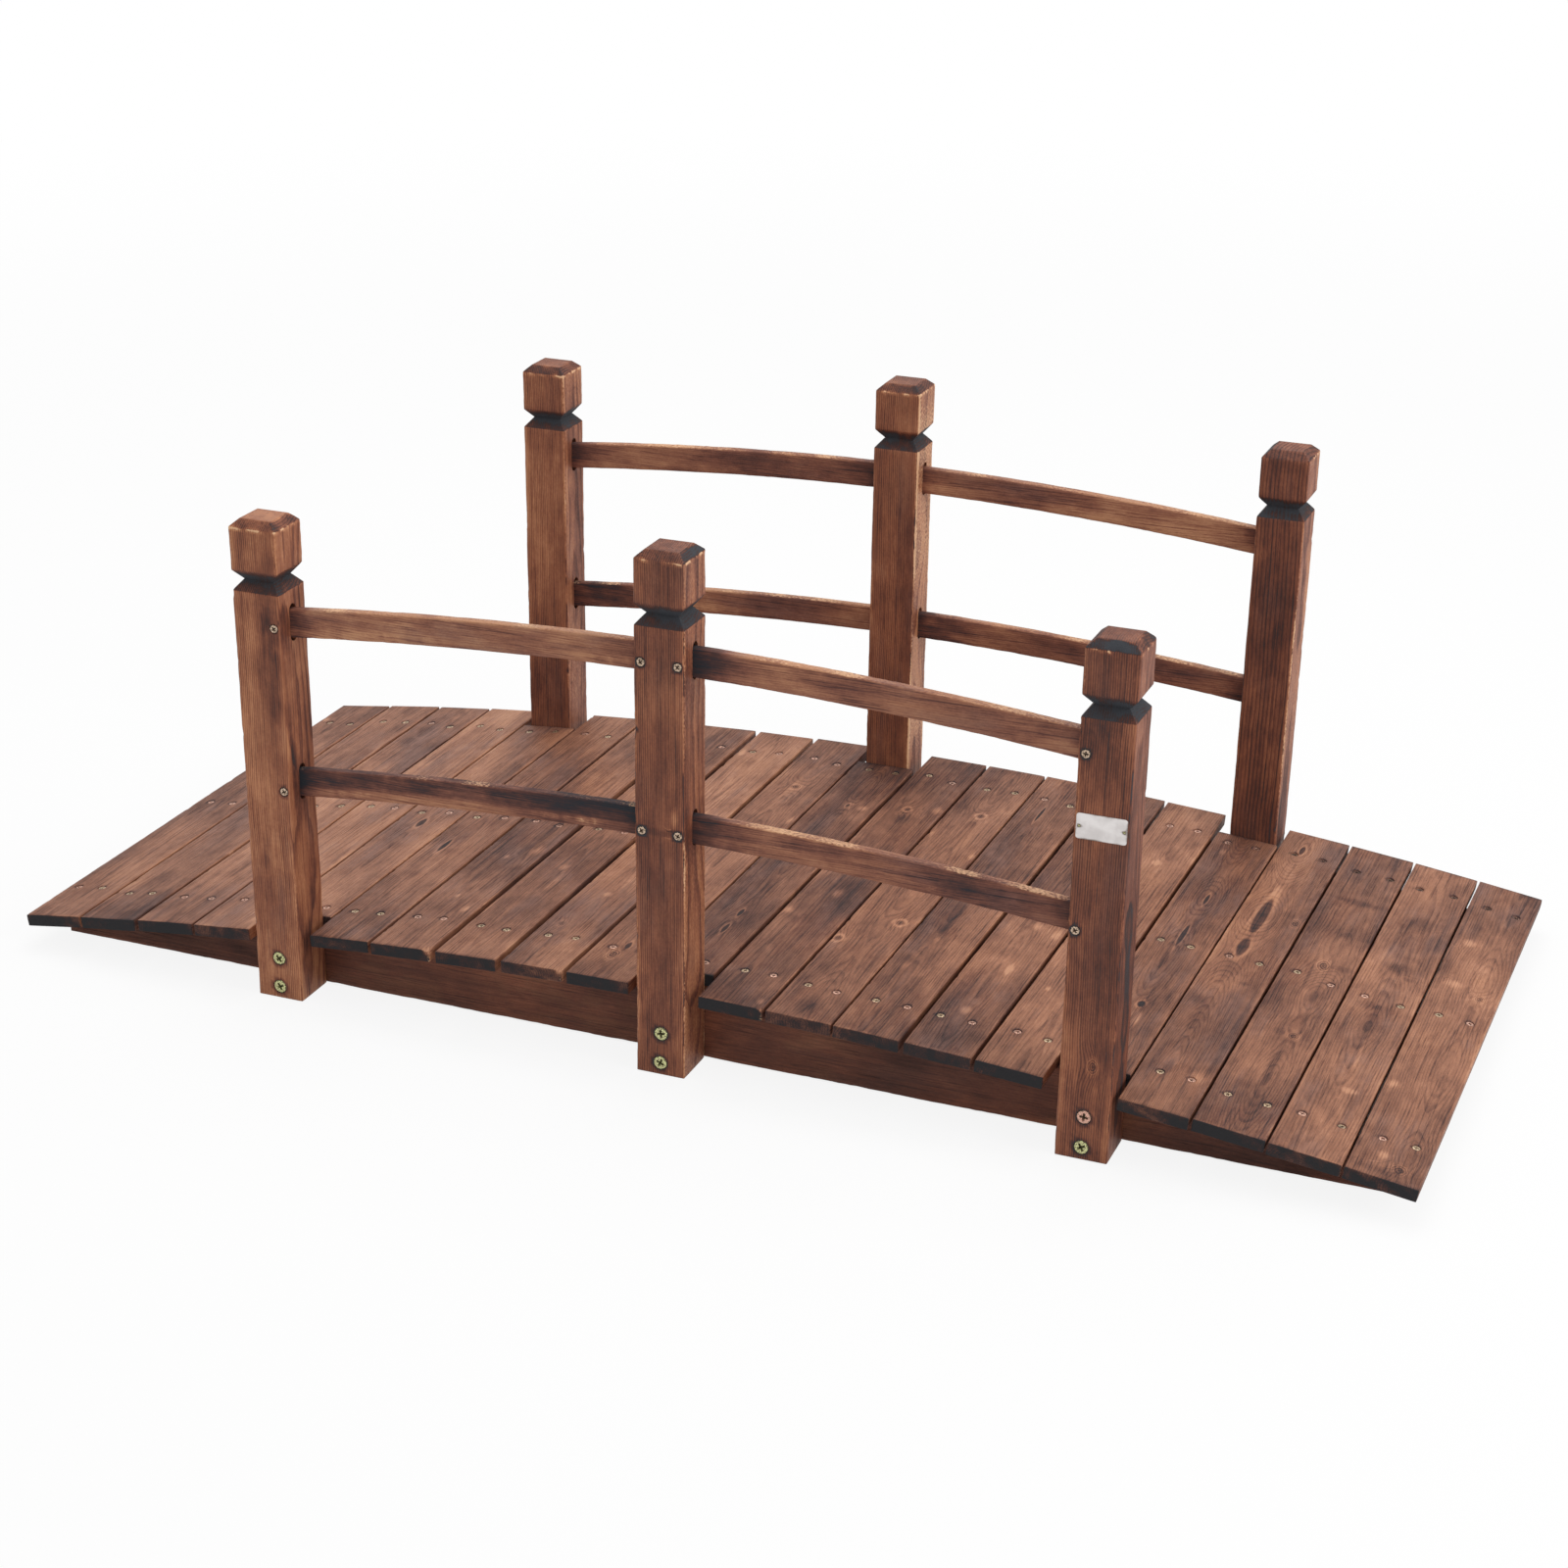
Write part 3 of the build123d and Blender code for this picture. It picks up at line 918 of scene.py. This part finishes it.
stringer_notes = {  # lot number for the random draws, and marks
    "front": (
        5, (76, -168, 10, 28, RING), (30, 560, 6, 12, SMUDGE), (22, -520, 5, 14, SMUDGE), (40, 240, 5, 18, SMUDGE),
    ),
    "middle": (6, (35, 120, 6, 10, RING)),
    "back": (4, (42, 260, 6, 11, RING), (30, -330, 6, 10, RING)),
}
for row, (lot, *marks) in stringer_notes.items():
    node = f"stringer_{row}"
    ends_at = stations(-half_stringer, half_stringer, 6.5, 1.2, (3, 8, 14, stringer_wide / 2))
    rings = weather(saw(section(stringer_wide, stringer_stock, 1.5, 5.5), ends_at), 2000 + lot, 0.8)
    rings[..., 2] = (rings[..., 2] / stringer_stock + 0.5) * stringer_height(rings[..., 1])
    heart = [(-730, 40), (-200, 28), (250, 46), (730, 36)]
    how = dict(line=30, marks=marks, tone=-0.1, through="x")
    look = Look(2100 + 7 * lot, heart, 3.2, stringer_char, stringer_wear, **how)
    place = shifted((1, 0, 2), (0, middle_of(node)[1], 0))
    set_timber(node, mesh_of(f"{node}_torched", rings), place, "stringer_wood", look)
print("with stringers:", sum(triangles.values()), "triangles")

# %% [markdown]
# ## Rails
# Each bay has two thin bowed bars. They were sawn to the curve from straight-grained stock, so the grain runs
# straight while the edges bow, and their ends sit in over-tall slots. The torch caught them unevenly: ends and some
# stretches are blue-black, and the brushed tops are pale.

# %% Rail and slot sizes
post_size, post_face = 52.0, 298.0
half_post = post_size / 2
post_line = post_face + half_post
post_offset = middle_of("post_front_right")[0]
post_at = {"left": -post_offset, "middle": 0.0, "right": post_offset}
outward = {"front": -1, "back": 1}
tall, short = (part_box(f"post_front_{place}")[1].z / MM for place in ("middle", "right"))
rail_wide, rail_deep, rail_bow, rail_tenon, heart_below = 12, 29.4, 5.8, 14.0, 60
rail_levels = {"upper": 95.0, "lower": 265.0}
rail_start = half_post - rail_tenon
rail_length = post_offset - 2 * rail_start


def rail_top(x, below):
    part = np.abs(x) / post_offset
    return tall + (short - tall) * part - below + 4 * rail_bow * part * (1 - part)


print("posts", round(post_offset, 2), "mm either side, tops at", round(tall, 1), "and", round(short, 1))

# %% How each rail came out of the flame
rail_notes = {  # tone, char of the upper half, pale flecks, and scorches as (place, reach, depth) along the rail
    "front left upper": (-0.22, 0.08, 0.7, [(0.94, 0.04, 0.45), (0.6, 0.08, 0.1), (0.03, 0.03, 0.2)]),
    "front left lower": (-0.04, 0.5, 1.6, [(0.98, 0.05, 0.35), (0.75, 0.14, 0.1), (0.3, 0.2, 0.1),
        (0.03, 0.05, 0.3)]),
    "front right upper": (-0.08, 0.08, 0.5, [(0.04, 0.1, 0.8), (0.4, 0.1, 0.1), (0.97, 0.05, 0.2)]),
    "front right lower": (-0.03, 0.08, 0.8, [(0.03, 0.1, 0.65), (0.72, 0.12, 0.25), (0.98, 0.07, 0.3)]),
    "back left upper": (0.02, 0.08, 0.5, [(0.97, 0.05, 0.35), (0.45, 0.2, 0.2), (0.03, 0.05, 0.3)]),
    "back left lower": (-0.12, 0.08, 0.8, [(0.9, 0.14, 0.65), (0.35, 0.15, 0.1)]),
    "back right upper": (-0.12, 0.08, 0.4, [(0.02, 0.06, 0.25), (0.98, 0.05, 0.3)]),
    "back right lower": (-0.02, 0.08, 0.7, [(0.05, 0.12, 0.55), (0.62, 0.12, 0.2), (0.98, 0.06, 0.3)]),
}


def rail_finish(below, band, flecks, scorch, seed):
    """Scorched stretches along the front and back faces, pale brushed flecks low down, pale top edge."""
    def char(points):
        across, along, up = points.T
        part = (along - rail_start) / rail_length
        found = sum(depth * near((part - spot) / reach) for spot, reach, depth in scorch)
        to_end = np.minimum(along - rail_start, rail_start + rail_length - along)
        upper_half = band * unit((up - rail_top(along, below) + 20) / 5)
        return unit(found + near(to_end / 16) * 0.5 + upper_half + 0.1 * wander(seed, along + 3 * up, 24))

    def wear(points):
        across, along, up = points.T
        here = up - rail_top(along, below)
        top_edge = unit((here + 2.2) / 1.6) * (1.1 + 0.4 * wander(seed + 1, along, 30))
        dots = np.clip(0.4 + wander(seed + 3, along, 6) + 0.6 * wander(seed + 4, along, 15), 0, 1.4)
        low_band = near((here + 22.5) / 2.6) * unit(wander(seed + 2, along, 55) + 0.5) * flecks * dots
        return np.clip(np.maximum(top_edge, low_band), 0, 1.4)

    return char, wear


print("rails described by hand:", len(rail_notes))

# %% Build the rails
for number, (words, (tone, band, flecks, scorch)) in enumerate(rail_notes.items()):
    row, place, level_name = words.split()
    node, below, seed = f"rail_{row}_{place}_{level_name}", rail_levels[level_name], 3000 + 37 * number
    ends_at = stations(rail_start, rail_start + rail_length, along_stride, 1.0, (2, 4, rail_wide / 2))
    rings = weather(saw(section(rail_wide, rail_deep, 2, 3.2), ends_at), seed, 0.6)
    rings[..., 2] += rail_top(rings[..., 1], below) - rail_deep / 2
    line = float(rail_top(rail_start + rail_length / 2, below)) - rail_deep / 2 - heart_below
    heart = [(rail_start + rail_length * part, deep) for part, deep in ((0, 30), (0.4, 24), (0.7, 34), (1, 27))]
    char, wear = rail_finish(below, band, flecks, scorch, seed)
    look = Look(seed, heart, 2.3, char, wear, line=line, tone=tone, through="x")
    lie = shifted((1, 0, 2), (0, outward[row] * post_line, 0), (-1 if place == "left" else 1, 1, 1))
    set_timber(node, mesh_of(f"{node}_torched", rings), lie, "rail_wood", look)
print("with rails:", sum(triangles.values()), "triangles")

# %% [markdown]
# ## Posts
# A post is a square bar whose top 51 mm is a block, cut off from the shaft by a V groove that runs round all four
# sides and mitres at the corners; the block's top arrises are chamfered. On the saw bench that is four passes of a
# tilted blade. Here it is the same outline with the inset of each pass at the right station. Slots for the rails are
# routed 15 mm deep, and taller than the rails, so a dark crescent shows above each.

# %% Post stations, slots and screws
block, chamfer_in, chamfer_drop, groove_tall, groove_deep = 51.0, 9.0, 8.0, 22.0, 9.5
slot_deep, slot_half, big_head = 15.0, 6.3, 5


def post_stations(height):
    """From foot to cap: eased foot, shaft, V groove, block, chamfer and a flat top that closes."""
    found = [(0.0, i) for i in (half_post, 20, 14, 8, 4, 1.2)] + [(0.4, 0.4), (1.2, 0.0)]
    groove_low = height - block - groove_tall
    groove_mid = groove_low + groove_tall / 2
    found += [(a, 0.0) for a in np.arange(6, groove_low - 3, along_stride)]
    found += [(groove_low - 1.2, 0.0), (groove_low, 0.25)]
    dips = (0.06, 0.2, 0.4, 0.6, 0.8, 0.95, 1.0)
    found += [(groove_low + dip * groove_tall / 2, groove_deep * dip) for dip in dips]
    found += [(groove_mid + (1 - dip) * groove_tall / 2, groove_deep * dip) for dip in dips[-2::-1]]
    found += [(height - block, 0.25), (height - block + 1.2, 0.0)]
    found += [(a, 0.0) for a in np.linspace(height - block + 5, height - chamfer_drop - 4, 9)]
    found += [(height - chamfer_drop - 0.8, 0.0), (height - chamfer_drop, 0.3)]
    found += [(height - chamfer_drop + chamfer_drop * s, chamfer_in * s) for s in (0.1, 0.3, 0.5, 0.7, 0.9)]
    found += [(height - 0.25, chamfer_in - 0.3), (height, chamfer_in + 0.8)]
    return found + [(height, i) for i in (12, 15, 18, 21, 24, half_post)]


def slot_cutter(side, top_z, low_z):
    """A round-ended slot cutter reaching into one side of a post; frame: X across, Y up the post, Z through."""
    turns = np.linspace(0, np.pi, 13)
    upper = [(slot_half * math.cos(t), top_z - slot_half + slot_half * math.sin(t)) for t in turns]
    lower = [(-slot_half * math.cos(t), low_z + slot_half - slot_half * math.sin(t)) for t in turns]
    through, up = np.array(upper + lower).T
    middle = (top_z + low_z) / 2
    reach = (29.0, 26.3, half_post - slot_deep)
    rings = [np.column_stack([np.full(len(up), side * x), up, through]) for x in reach]
    closed = [ring * (1, 0, 0) + (0, middle, 0) for ring in (rings[0], rings[-1])]
    return mesh_of("slot", np.array([closed[0], *rings, closed[1]]))


def slot_places(post_x):
    """(side, top, bottom) of each slot, 5 mm above and 3 mm below its rail."""
    found = []
    for side in (-1, 1):
        if abs(post_x + side) <= post_offset:
            for below in rail_levels.values():
                tops = [float(rail_top(post_x + side * x, below)) for x in (half_post, rail_start)]
                found.append((side, max(tops) + 5, min(tops) - rail_deep - 3))
    return found


def post_screws(post_x):
    """(x, height, head radius) on the outer face: two big foot screws, and a small one into each rail end."""
    found = [(0.4, 45.5, 7.2), (-0.4, 13.0, 7.2)]
    upper, lower = (432.3, 261.0) if post_x == 0 else (409.0, 235.5)
    for side, top_z, low_z in slot_places(post_x):
        found.append((side * 19.0, upper if top_z > 350 else lower, 4.3))
    return found


print("slots in a middle post", len(slot_places(0)), "screws", len(post_screws(0)))

# %% How each post came out of the flame
# A scorch is (x, z, height, its three reaches, depth); chamfers gives the char of the cap's front and right
# chamfer; the amount that lightens the right face is a painted highlight.
post_notes = {
    "front left": dict(
        tone=-0.1, chamfers=(0.2, 0.45), line=-80, heart=[(0, 12), (200, 4), (400, 16), (541, 8)],
        scorch=[(16, -26, 402, 14, 12, 60, 0.6), (12, -26, 315, 10, 12, 40, 0.3),
            (26, -15, 255, 12, 4, 46, 0.85), (26, 4, 120, 12, 8, 60, 0.35)],
        marks=[(-8, 155, 3, 6, SMUDGE)],
    ),
    "front middle": dict(
        tone=0.01, chamfers=(0.12, 0.75), right_face_highlight=0.75, line=-95, heart=[(0, 10), (160, 3), (320, 18), (541, 5)],
        scorch=[(0, -26, 330, 14, 12, 80, 0.16), (4, -26, 120, 16, 12, 60, 0.1),
            (0, -26, 438, 20, 12, 22, 0.14)],
        marks=[(16, 278, 4, 11, PALE), (0, 262, 13, 2.5, SMUDGE)],
    ),
    "front right": dict(
        tone=0.05, chamfers=(0.95, 0.45), line=110, heart=[(0, 6), (120, -4), (300, 10), (541, 2)],
        scorch=[(0, -26, 105, 24, 12, 50, 0.16), (26, 0, 150, 12, 30, 90, 0.25),
            (-8, -26, 425, 22, 12, 34, 0.38)],
        marks=[(6, 100, 6, 9, SWIRL)],
    ),
    "back left": dict(
        tone=-0.05, chamfers=(0.45, 0.3), right_face_highlight=0.8, line=90, heart=[(0, 8), (250, 0), (541, 10)],
        scorch=[(26, 0, 380, 14, 20, 120, 0.2)],
    ),
    "back middle": dict(
        tone=-0.06, chamfers=(0.3, 0.35), right_face_highlight=1.3, line=-70, heart=[(0, 16), (150, 4), (260, 20), (400, 6),
            (541, 14)],
        scorch=[(20, -26, 330, 8, 12, 80, 0.3), (26, 0, 90, 10, 30, 60, 0.3)],
    ),
    "back right": dict(
        tone=0.07, chamfers=(0.12, 0.2), right_face_highlight=0.9, ring=4.2, line=100, heart=[(0, 8), (300, 2), (541, 12)],
        scorch=[(0, -26, 230, 40, 16, 250, 0.12)],
    ),
}
print("posts described by hand:", len(post_notes))


# %% Char and wear of a post
def post_char_and_shade(height, post_x, out, scorch, chamfers, seed):
    """The groove and shoulders are blue-black, the chamfers scorched in places, the foot dark, slots and holes
    darkened inside with painted shade, and a dark rim round each screw, partly char and partly painted shade.
    """
    groove, groove_low = height - block - groove_tall / 2, height - block - groove_tall

    def char(points):
        across, along, into = points.T
        outermost = np.maximum(np.abs(across), np.abs(into))
        neck = unit(1.35 - np.abs(along - groove - 1) / 8.5) * unit(along - groove_low)
        shoulder = 0.7 * ((along > groove_low + 0.3) & (along < groove))
        shoulder = shoulder * (0.9 + 0.25 * wander(seed + 5, across + 2 * into, 13))
        ragged = outermost - 17.2 + 0.9 * wander(seed, across + 2 * into, 5)
        on_chamfer = unit((along - height + chamfer_drop + 0.3) / 0.7) * unit(ragged / 1.2)
        to_front, to_right = (-into > np.abs(across)), (across >= np.abs(into))
        elsewhere = 0.4 + 0.3 * wander(seed + 1, across + into, 20)
        depth_here = np.where(to_front, chamfers[0], np.where(to_right, chamfers[1], elsewhere))
        chamfer = on_chamfer * unit(depth_here * (1 + 0.5 * wander(seed + 2, across + into, 11)))
        # Painted shade: the inside of the slots and screw holes is darkened
        inside = 0.7 * (outermost < 25.2) * (along < groove_low - 5)
        foot = 0.5 * unit((0.8 - along) / 0.8)
        patches = sum(
            depth * near((across - x) / reach_x, (into - z) / reach_z, (along - up) / tall_reach)
            for x, z, up, reach_x, reach_z, tall_reach, depth in scorch
        )
        # Partly char and partly painted shade: a dark rim on each screw's countersink
        for x, up, radius in post_screws(post_x):
            ring = near((np.hypot(across - x, along - up) - radius - 0.8) / 0.9) * (into * out > 24) * 0.6
            patches = np.maximum(patches, ring)
        return unit(np.maximum.reduce([neck, shoulder, chamfer, inside, foot]) + patches)

    return char


def post_wear_and_highlight(height, seed, right_face_highlight):
    """Corners rubbed lighter in strips, bright scuffs on the block's upper edges, and a painted highlight on the
    right face.
    """
    def wear(points):
        across, along, into = points.T
        corner = near((half_post - np.abs(across)) / 3.2, (half_post - np.abs(into)) / 3.2)
        which = 900 * (across > 0) + 1800 * (into > 0)
        strip = corner * unit(0.5 + 0.8 * wander(seed, along + which, 60))
        scuffs = unit(wander(seed + 3, across + 2 * into, 6) + 0.3) * 2.2
        brim = near((along - height + chamfer_drop + 0.4) / 1.1) * scuffs
        # Painted highlight: the right face is lightened as if more light fell on it from the right
        side = right_face_highlight * unit(across - 24.5) * (0.8 + 0.3 * wander(seed + 9, along, 70))
        return np.clip(strip + brim + side, 0, 1.7)

    return wear


print("wear on the top of a front post's corner:", post_wear_and_highlight(500, 1, 0)(np.array([[26.0, 492.0, -26.0]])).round(2))

# %% Build the posts
shaft_nicks, cap_nicks = 14, 6
for number, (words, notes) in enumerate(post_notes.items()):
    row, place = words.split()
    node, post_x, out, seed = f"post_{row}_{place}", post_at[place], outward[row], 4000 + 53 * number
    height = tall if place == "middle" else short
    rings = weather(saw(section(post_size, post_size, 2, 4.0), post_stations(height)), seed, 0.7)
    nicks = np.random.default_rng(seed)
    for _ in range(shaft_nicks):
        sides = nicks.choice((-1, 1), 2)
        spot = (half_post * sides[0], nicks.uniform(5, height - 60), half_post * sides[1])
        chip(rings, spot, nicks.uniform(3, 6), nicks.uniform(0.3, 0.7), (-sides[0], 0, -sides[1]))
    for _ in range(cap_nicks):
        side = nicks.choice((-1, 1), 2)[1]
        spot = (nicks.uniform(-22, 22), height - chamfer_drop, half_post * side)
        chip(rings, spot, nicks.uniform(3, 7), nicks.uniform(0.3, 0.9), (0, -0.6, -side))
    cutters = [slot_cutter(*slot) for slot in slot_places(post_x)]
    for x, up, radius in post_screws(post_x):
        rim, spot = 0.5 if radius > big_head else 1.3, (x, up, out * half_post)
        cutters.append(countersink(spot, (0, 0, out), radius, rim, 1.8, radius * 0.85, 14))
    look = Look(
        seed, notes["heart"], notes.get("ring", 2.2),
        post_char_and_shade(height, post_x, out, notes["scorch"], notes["chamfers"], seed),
        post_wear_and_highlight(height, seed, notes.get("right_face_highlight", 0)),
        line=notes["line"], marks=notes.get("marks", ()), tone=notes["tone"], flame=5.0, beside=0.55,
    )
    stand = shifted((0, 2, 1), (post_x, out * post_line, 0))
    set_timber(node, cut(mesh_of(f"{node}_torched", rings), cutters), stand, "post_wood", look)
print("with posts:", sum(triangles.values()), "triangles")

# Each head is a disc with a cross recess that tapers inward, sunk a little into the wood. The plating has gone dull
# and brown in places, most on the far end of the right planks.

# %% Plated metal
def plated(name, colour, stain):
    shader = Shader(bpy.data.materials.new(name))
    board = shader.painted("board")
    dulled, pink, _ = shader.painted("finish").parts()
    cloud = shader.noise(board, 900.0, 3.0)
    turning = shader.noise(board * (1.0, 1.0, 0.2), 5200.0, 2.0)
    grime = (cloud * 1.5 + dulled).step(-0.1, 0.9)
    clean = shader.mix(pink, shader.mix(cloud.step(-0.2, 0.25), colour, "A8957A"), "DDA899")
    rough = grime.step(0, 1, 0.36, 0.75) + turning * 0.2
    normal = shader.bump(turning + cloud, 0.25, 0.0001)
    finish = shader.mix(grime, clean, stain)
    return shader.surface(Normal=normal, Base_Color=finish, Metallic=1 - grime * 0.85, Roughness=rough)


screw_finish = {
    "deck": plated("dull_yellow_zinc", "D9BE9E", "4A342A"),
    "rail": plated("rail_screw_zinc", "D6BCA6", "3E2C25"),
    "foot": plated("bright_green_zinc", "D2D79A", "57503A"),
}
print({use: material.name for use, material in screw_finish.items()})


# %% Screw head mesh
def screw_head(radius, domed):
    """Points and faces of one head, top at zero, facing +Z: conical skirt, eased rim, cross recess."""
    work = bmesh.new()
    angles = np.linspace(0, 2 * np.pi, 28, endpoint=False)
    loops = []
    for share, drop in ((0.5, -0.62), (1.0, -0.16), (0.985, -0.08), (0.93, -0.02), (0.84, 0.0)):
        across, up = radius * share, radius * drop + domed * (1 - share**2)
        loops.append([work.verts.new((across * math.cos(a), across * math.sin(a), up)) for a in angles])
    work.faces.new(loops[0][::-1])
    arm, width = 0.6 * radius, 0.17 * radius
    crossed = []
    for drop, scale in ((domed * 0.8, 1.0), (-0.5 * radius, 0.55)):
        loop = []
        for quarter in range(4):
            turn = Matrix.Rotation(quarter * math.pi / 2, 2)
            for x, y in ((arm, -width), (arm, width), (width, width)):
                flat = turn @ Vector((x * scale, y * scale))
                loop.append(work.verts.new((flat.x, flat.y, drop)))
        crossed.append(loop)
    for lower, upper in (*zip(loops, loops[1:]), crossed[::-1]):
        for i in range(len(lower)):
            work.faces.new((lower[i], lower[i - 1], upper[i - 1], upper[i]))
    work.faces.new(crossed[1])
    open_edges = [edge for edge in work.edges if edge.is_boundary]
    bmesh.ops.triangle_fill(work, use_beauty=True, edges=open_edges, normal=(0, 0, 1))
    bmesh.ops.triangulate(work, faces=[face for face in work.faces if len(face.verts) > 4])
    bmesh.ops.recalc_face_normals(work, faces=work.faces)
    work.verts.index_update()
    points = np.array([vertex.co for vertex in work.verts])
    faces = [tuple(vertex.index for vertex in face.verts) for face in work.faces]
    work.free()
    return points, faces


def lay_metal(mesh, dulled, pink=0):
    """Stores a metal piece's numbers on its vertices, which are still in millimetres."""
    store(mesh, "board", *(points_of(mesh) * MM).T)
    store(mesh, "finish", dulled, pink, 0)


head_tilt = 0.045


def set_screws(name, use, spots, seed):
    """One piece of several screws; spots are (centre on the bridge, facing, radius, stain, pinkness)."""
    lot = np.random.default_rng(seed)
    points, faces, head_darkening, pinks = [], [], [], []
    for centre, facing, radius, stain, pink in spots:
        head, sides = screw_head(radius, 0.25 if use == "foot" else 0.1)
        facing = (Vector(facing) + Vector(lot.uniform(-head_tilt, head_tilt, 3))).normalized()
        spin = facing.to_track_quat("Z", "Y").to_matrix() @ Matrix.Rotation(lot.uniform(0, math.pi / 2), 3, "Z")
        base = sum(len(p) for p in points)
        points.append(head @ np.array(spin).T + np.array(centre))
        faces += [tuple(base + i for i in side) for side in sides]
        # Each head is made darker and duller at its rim and in its cross recess
        rim = 0.35 * (np.hypot(head[:, 0], head[:, 1]) > 0.9 * radius) + 0.9 * (head[:, 2] < -0.2 * radius)
        head_darkening.append(np.clip(stain + rim, 0, 1.5))
        pinks.append(np.full(len(head), pink))
    mesh = bpy.data.meshes.new(name)
    mesh.from_pydata(np.vstack(points).tolist(), [], faces)
    lay_metal(mesh, np.concatenate(head_darkening), np.concatenate(pinks))
    set_in_place(name, mesh, lambda p: p, screw_finish[use], "plate_metal")


print("one deck screw head has", len(screw_head(deck_head, 0.1)[1]), "faces")

# %% Place the screws
for number, place in enumerate(plank_places, 1):
    move, lean = on_the_arch(place), place / deck_radius
    facing = (math.sin(lean), 0, math.cos(lean))
    lot = np.random.default_rng(7000 + number)
    spots = []
    for i, (x, y) in enumerate(screw_spots[number]):
        sunk = 0.3 + 0.35 * lot.random()
        far_and_rusty = i > 3 and number >= 18
        stain = (0.75 if far_and_rusty else 0.0) + 0.25 * lot.random()
        pink = 0.7 * (lot.random() > 0.55)
        spots.append((move(np.array([[x, y, -sunk - 0.7 * far_and_rusty]]))[0], facing, deck_head, stain, pink))
    set_screws(f"deck_screws_{number:02d}", "deck", spots, 7100 + number)
for words in post_notes:
    row, place = words.split()
    out, post_x = outward[row], post_at[place]
    face, reddened = out * (post_line + half_post - 0.2), 0.9 if words == "front right" else 0.0
    for use in ("foot", "rail"):
        spots = [
            ((post_x + x, face, up), (0, out, 0), radius, 0.1, reddened * (30 < up < 100))
            for x, up, radius in post_screws(post_x) if (radius > big_head) == (use == "foot")
        ]
        set_screws(f"{use}_screws_{row}_{place}", use, spots, 7300 + len(spots) + len(row) * 3 + len(place))
print("with screws:", sum(triangles.values()), "triangles")

# %% [markdown]
# ## Plate
# A thin brushed aluminium plate is nailed to the front right post. It is blank here. It is stamped from sheet, so
# its edges are crisp with a slight roll, its corners are rounded, and two small nails hold it.

# %% Brushed plate
def brushed_plate():
    shader = Shader(bpy.data.materials.new("brushed_plate"))
    board = shader.painted("board")
    brushed = shader.noise(board * (30.0, 1.0, 2600.0), 1.0, 3.0, 0.6)
    cloud = shader.noise(board, 60.0, 3.0)
    grime = (shader.painted("finish").parts()[0] + cloud * 0.8 + brushed * 0.3).step(0.25, 1.1)
    colour = shader.mix(grime, shader.mix(cloud.step(-0.3, 0.3), "E6E1DF", "D3CDCB"), "7C6E66")
    rough = 0.42 + brushed * 0.2 + grime * 0.2
    normal = shader.bump(brushed, 0.2, 0.0002)
    return shader.surface(Normal=normal, Base_Color=colour, Metallic=0.75 - grime * 0.5, Roughness=rough)


plate_wide, plate_tall, plate_thick, nail_x, nail_hole = 48, 25, 0.8, 21.0, 1.3
outline = section(plate_wide, plate_tall, 3, 1.6)
half = np.abs(outline).max(axis=0)
back_face = [(inset, 0.0) for inset in (12.5, 9, 5, 2, 0.15)]
rolled_edge = [(0.0, 0.12), (0.0, 0.55), (0.2, 0.74)]
front_face = [(inset, plate_thick) for inset in (0.6, 2, 5, 9, 12.5)]
plate_rings = []
for inset, up in back_face + rolled_edge + front_face:
    inner = outline * (half - min(inset, 2)) / half
    inner = np.clip(inner, inset - half, half - inset) if inset >= 3 else inner
    plate_rings.append(np.column_stack([inner[:, 0], np.full(len(inner), up), inner[:, 1]]))
hole = [(0, 1.2), (nail_hole, 1.2), (nail_hole, -0.4), (0, -0.4)]
holes = [turned(hole, (x, 0, 0), (0, 1, 0), 20) for x in (-nail_x, nail_x)]
plate_mesh = cut(mesh_of("plate_blank", np.array(plate_rings)), holes)
across, _, up = np.abs(points_of(plate_mesh)).T
near_edge = near(np.minimum(half[0] - across, half[1] - up))
near_nail = near((np.hypot(across - nail_x, up) - nail_hole) / 1.2)
lay_metal(plate_mesh, np.maximum(0.7 * near_edge, near_nail))
plate_x, _, plate_z = middle_of("plate_front_right")
plate_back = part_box("plate_front_right")[1].y / MM
hung = shifted((0, 1, 2), (plate_x, plate_back, plate_z), (1, -1, 1))
set_in_place("plate_front_right_brushed", plate_mesh, hung, brushed_plate(), "plate_metal", "plate_front_right")
print("plate", triangles["plate_front_right_brushed"], "triangles")

# %% Plate nails
shank = [(0, -3.0), (0.9, -3.0), (0.9, 0.05)]
domed_head = [(1.75, 0.0), (1.8, 0.25), (1.6, 0.5), (1.1, 0.66), (0.5, 0.72), (0, 0.74)]
angles = np.linspace(0, 2 * np.pi, 24, endpoint=False)
rings = [np.column_stack([r * np.cos(angles), np.full(24, up), r * np.sin(angles)]) for r, up in shank + domed_head]
for side, name in ((-1, "left"), (1, "right")):
    mesh = mesh_of(f"plate_nail_{name}", np.array(rings))
    lay_metal(mesh, 0.35)
    driven = shifted((0, 1, 2), (plate_x + side * nail_x, plate_back, plate_z), (1, -0.9, 1))
    set_in_place(f"plate_nail_{name}", mesh, driven, screw_finish["foot"], "plate_metal")
print("all pieces:", len(triangles), "with", sum(triangles.values()), "triangles")
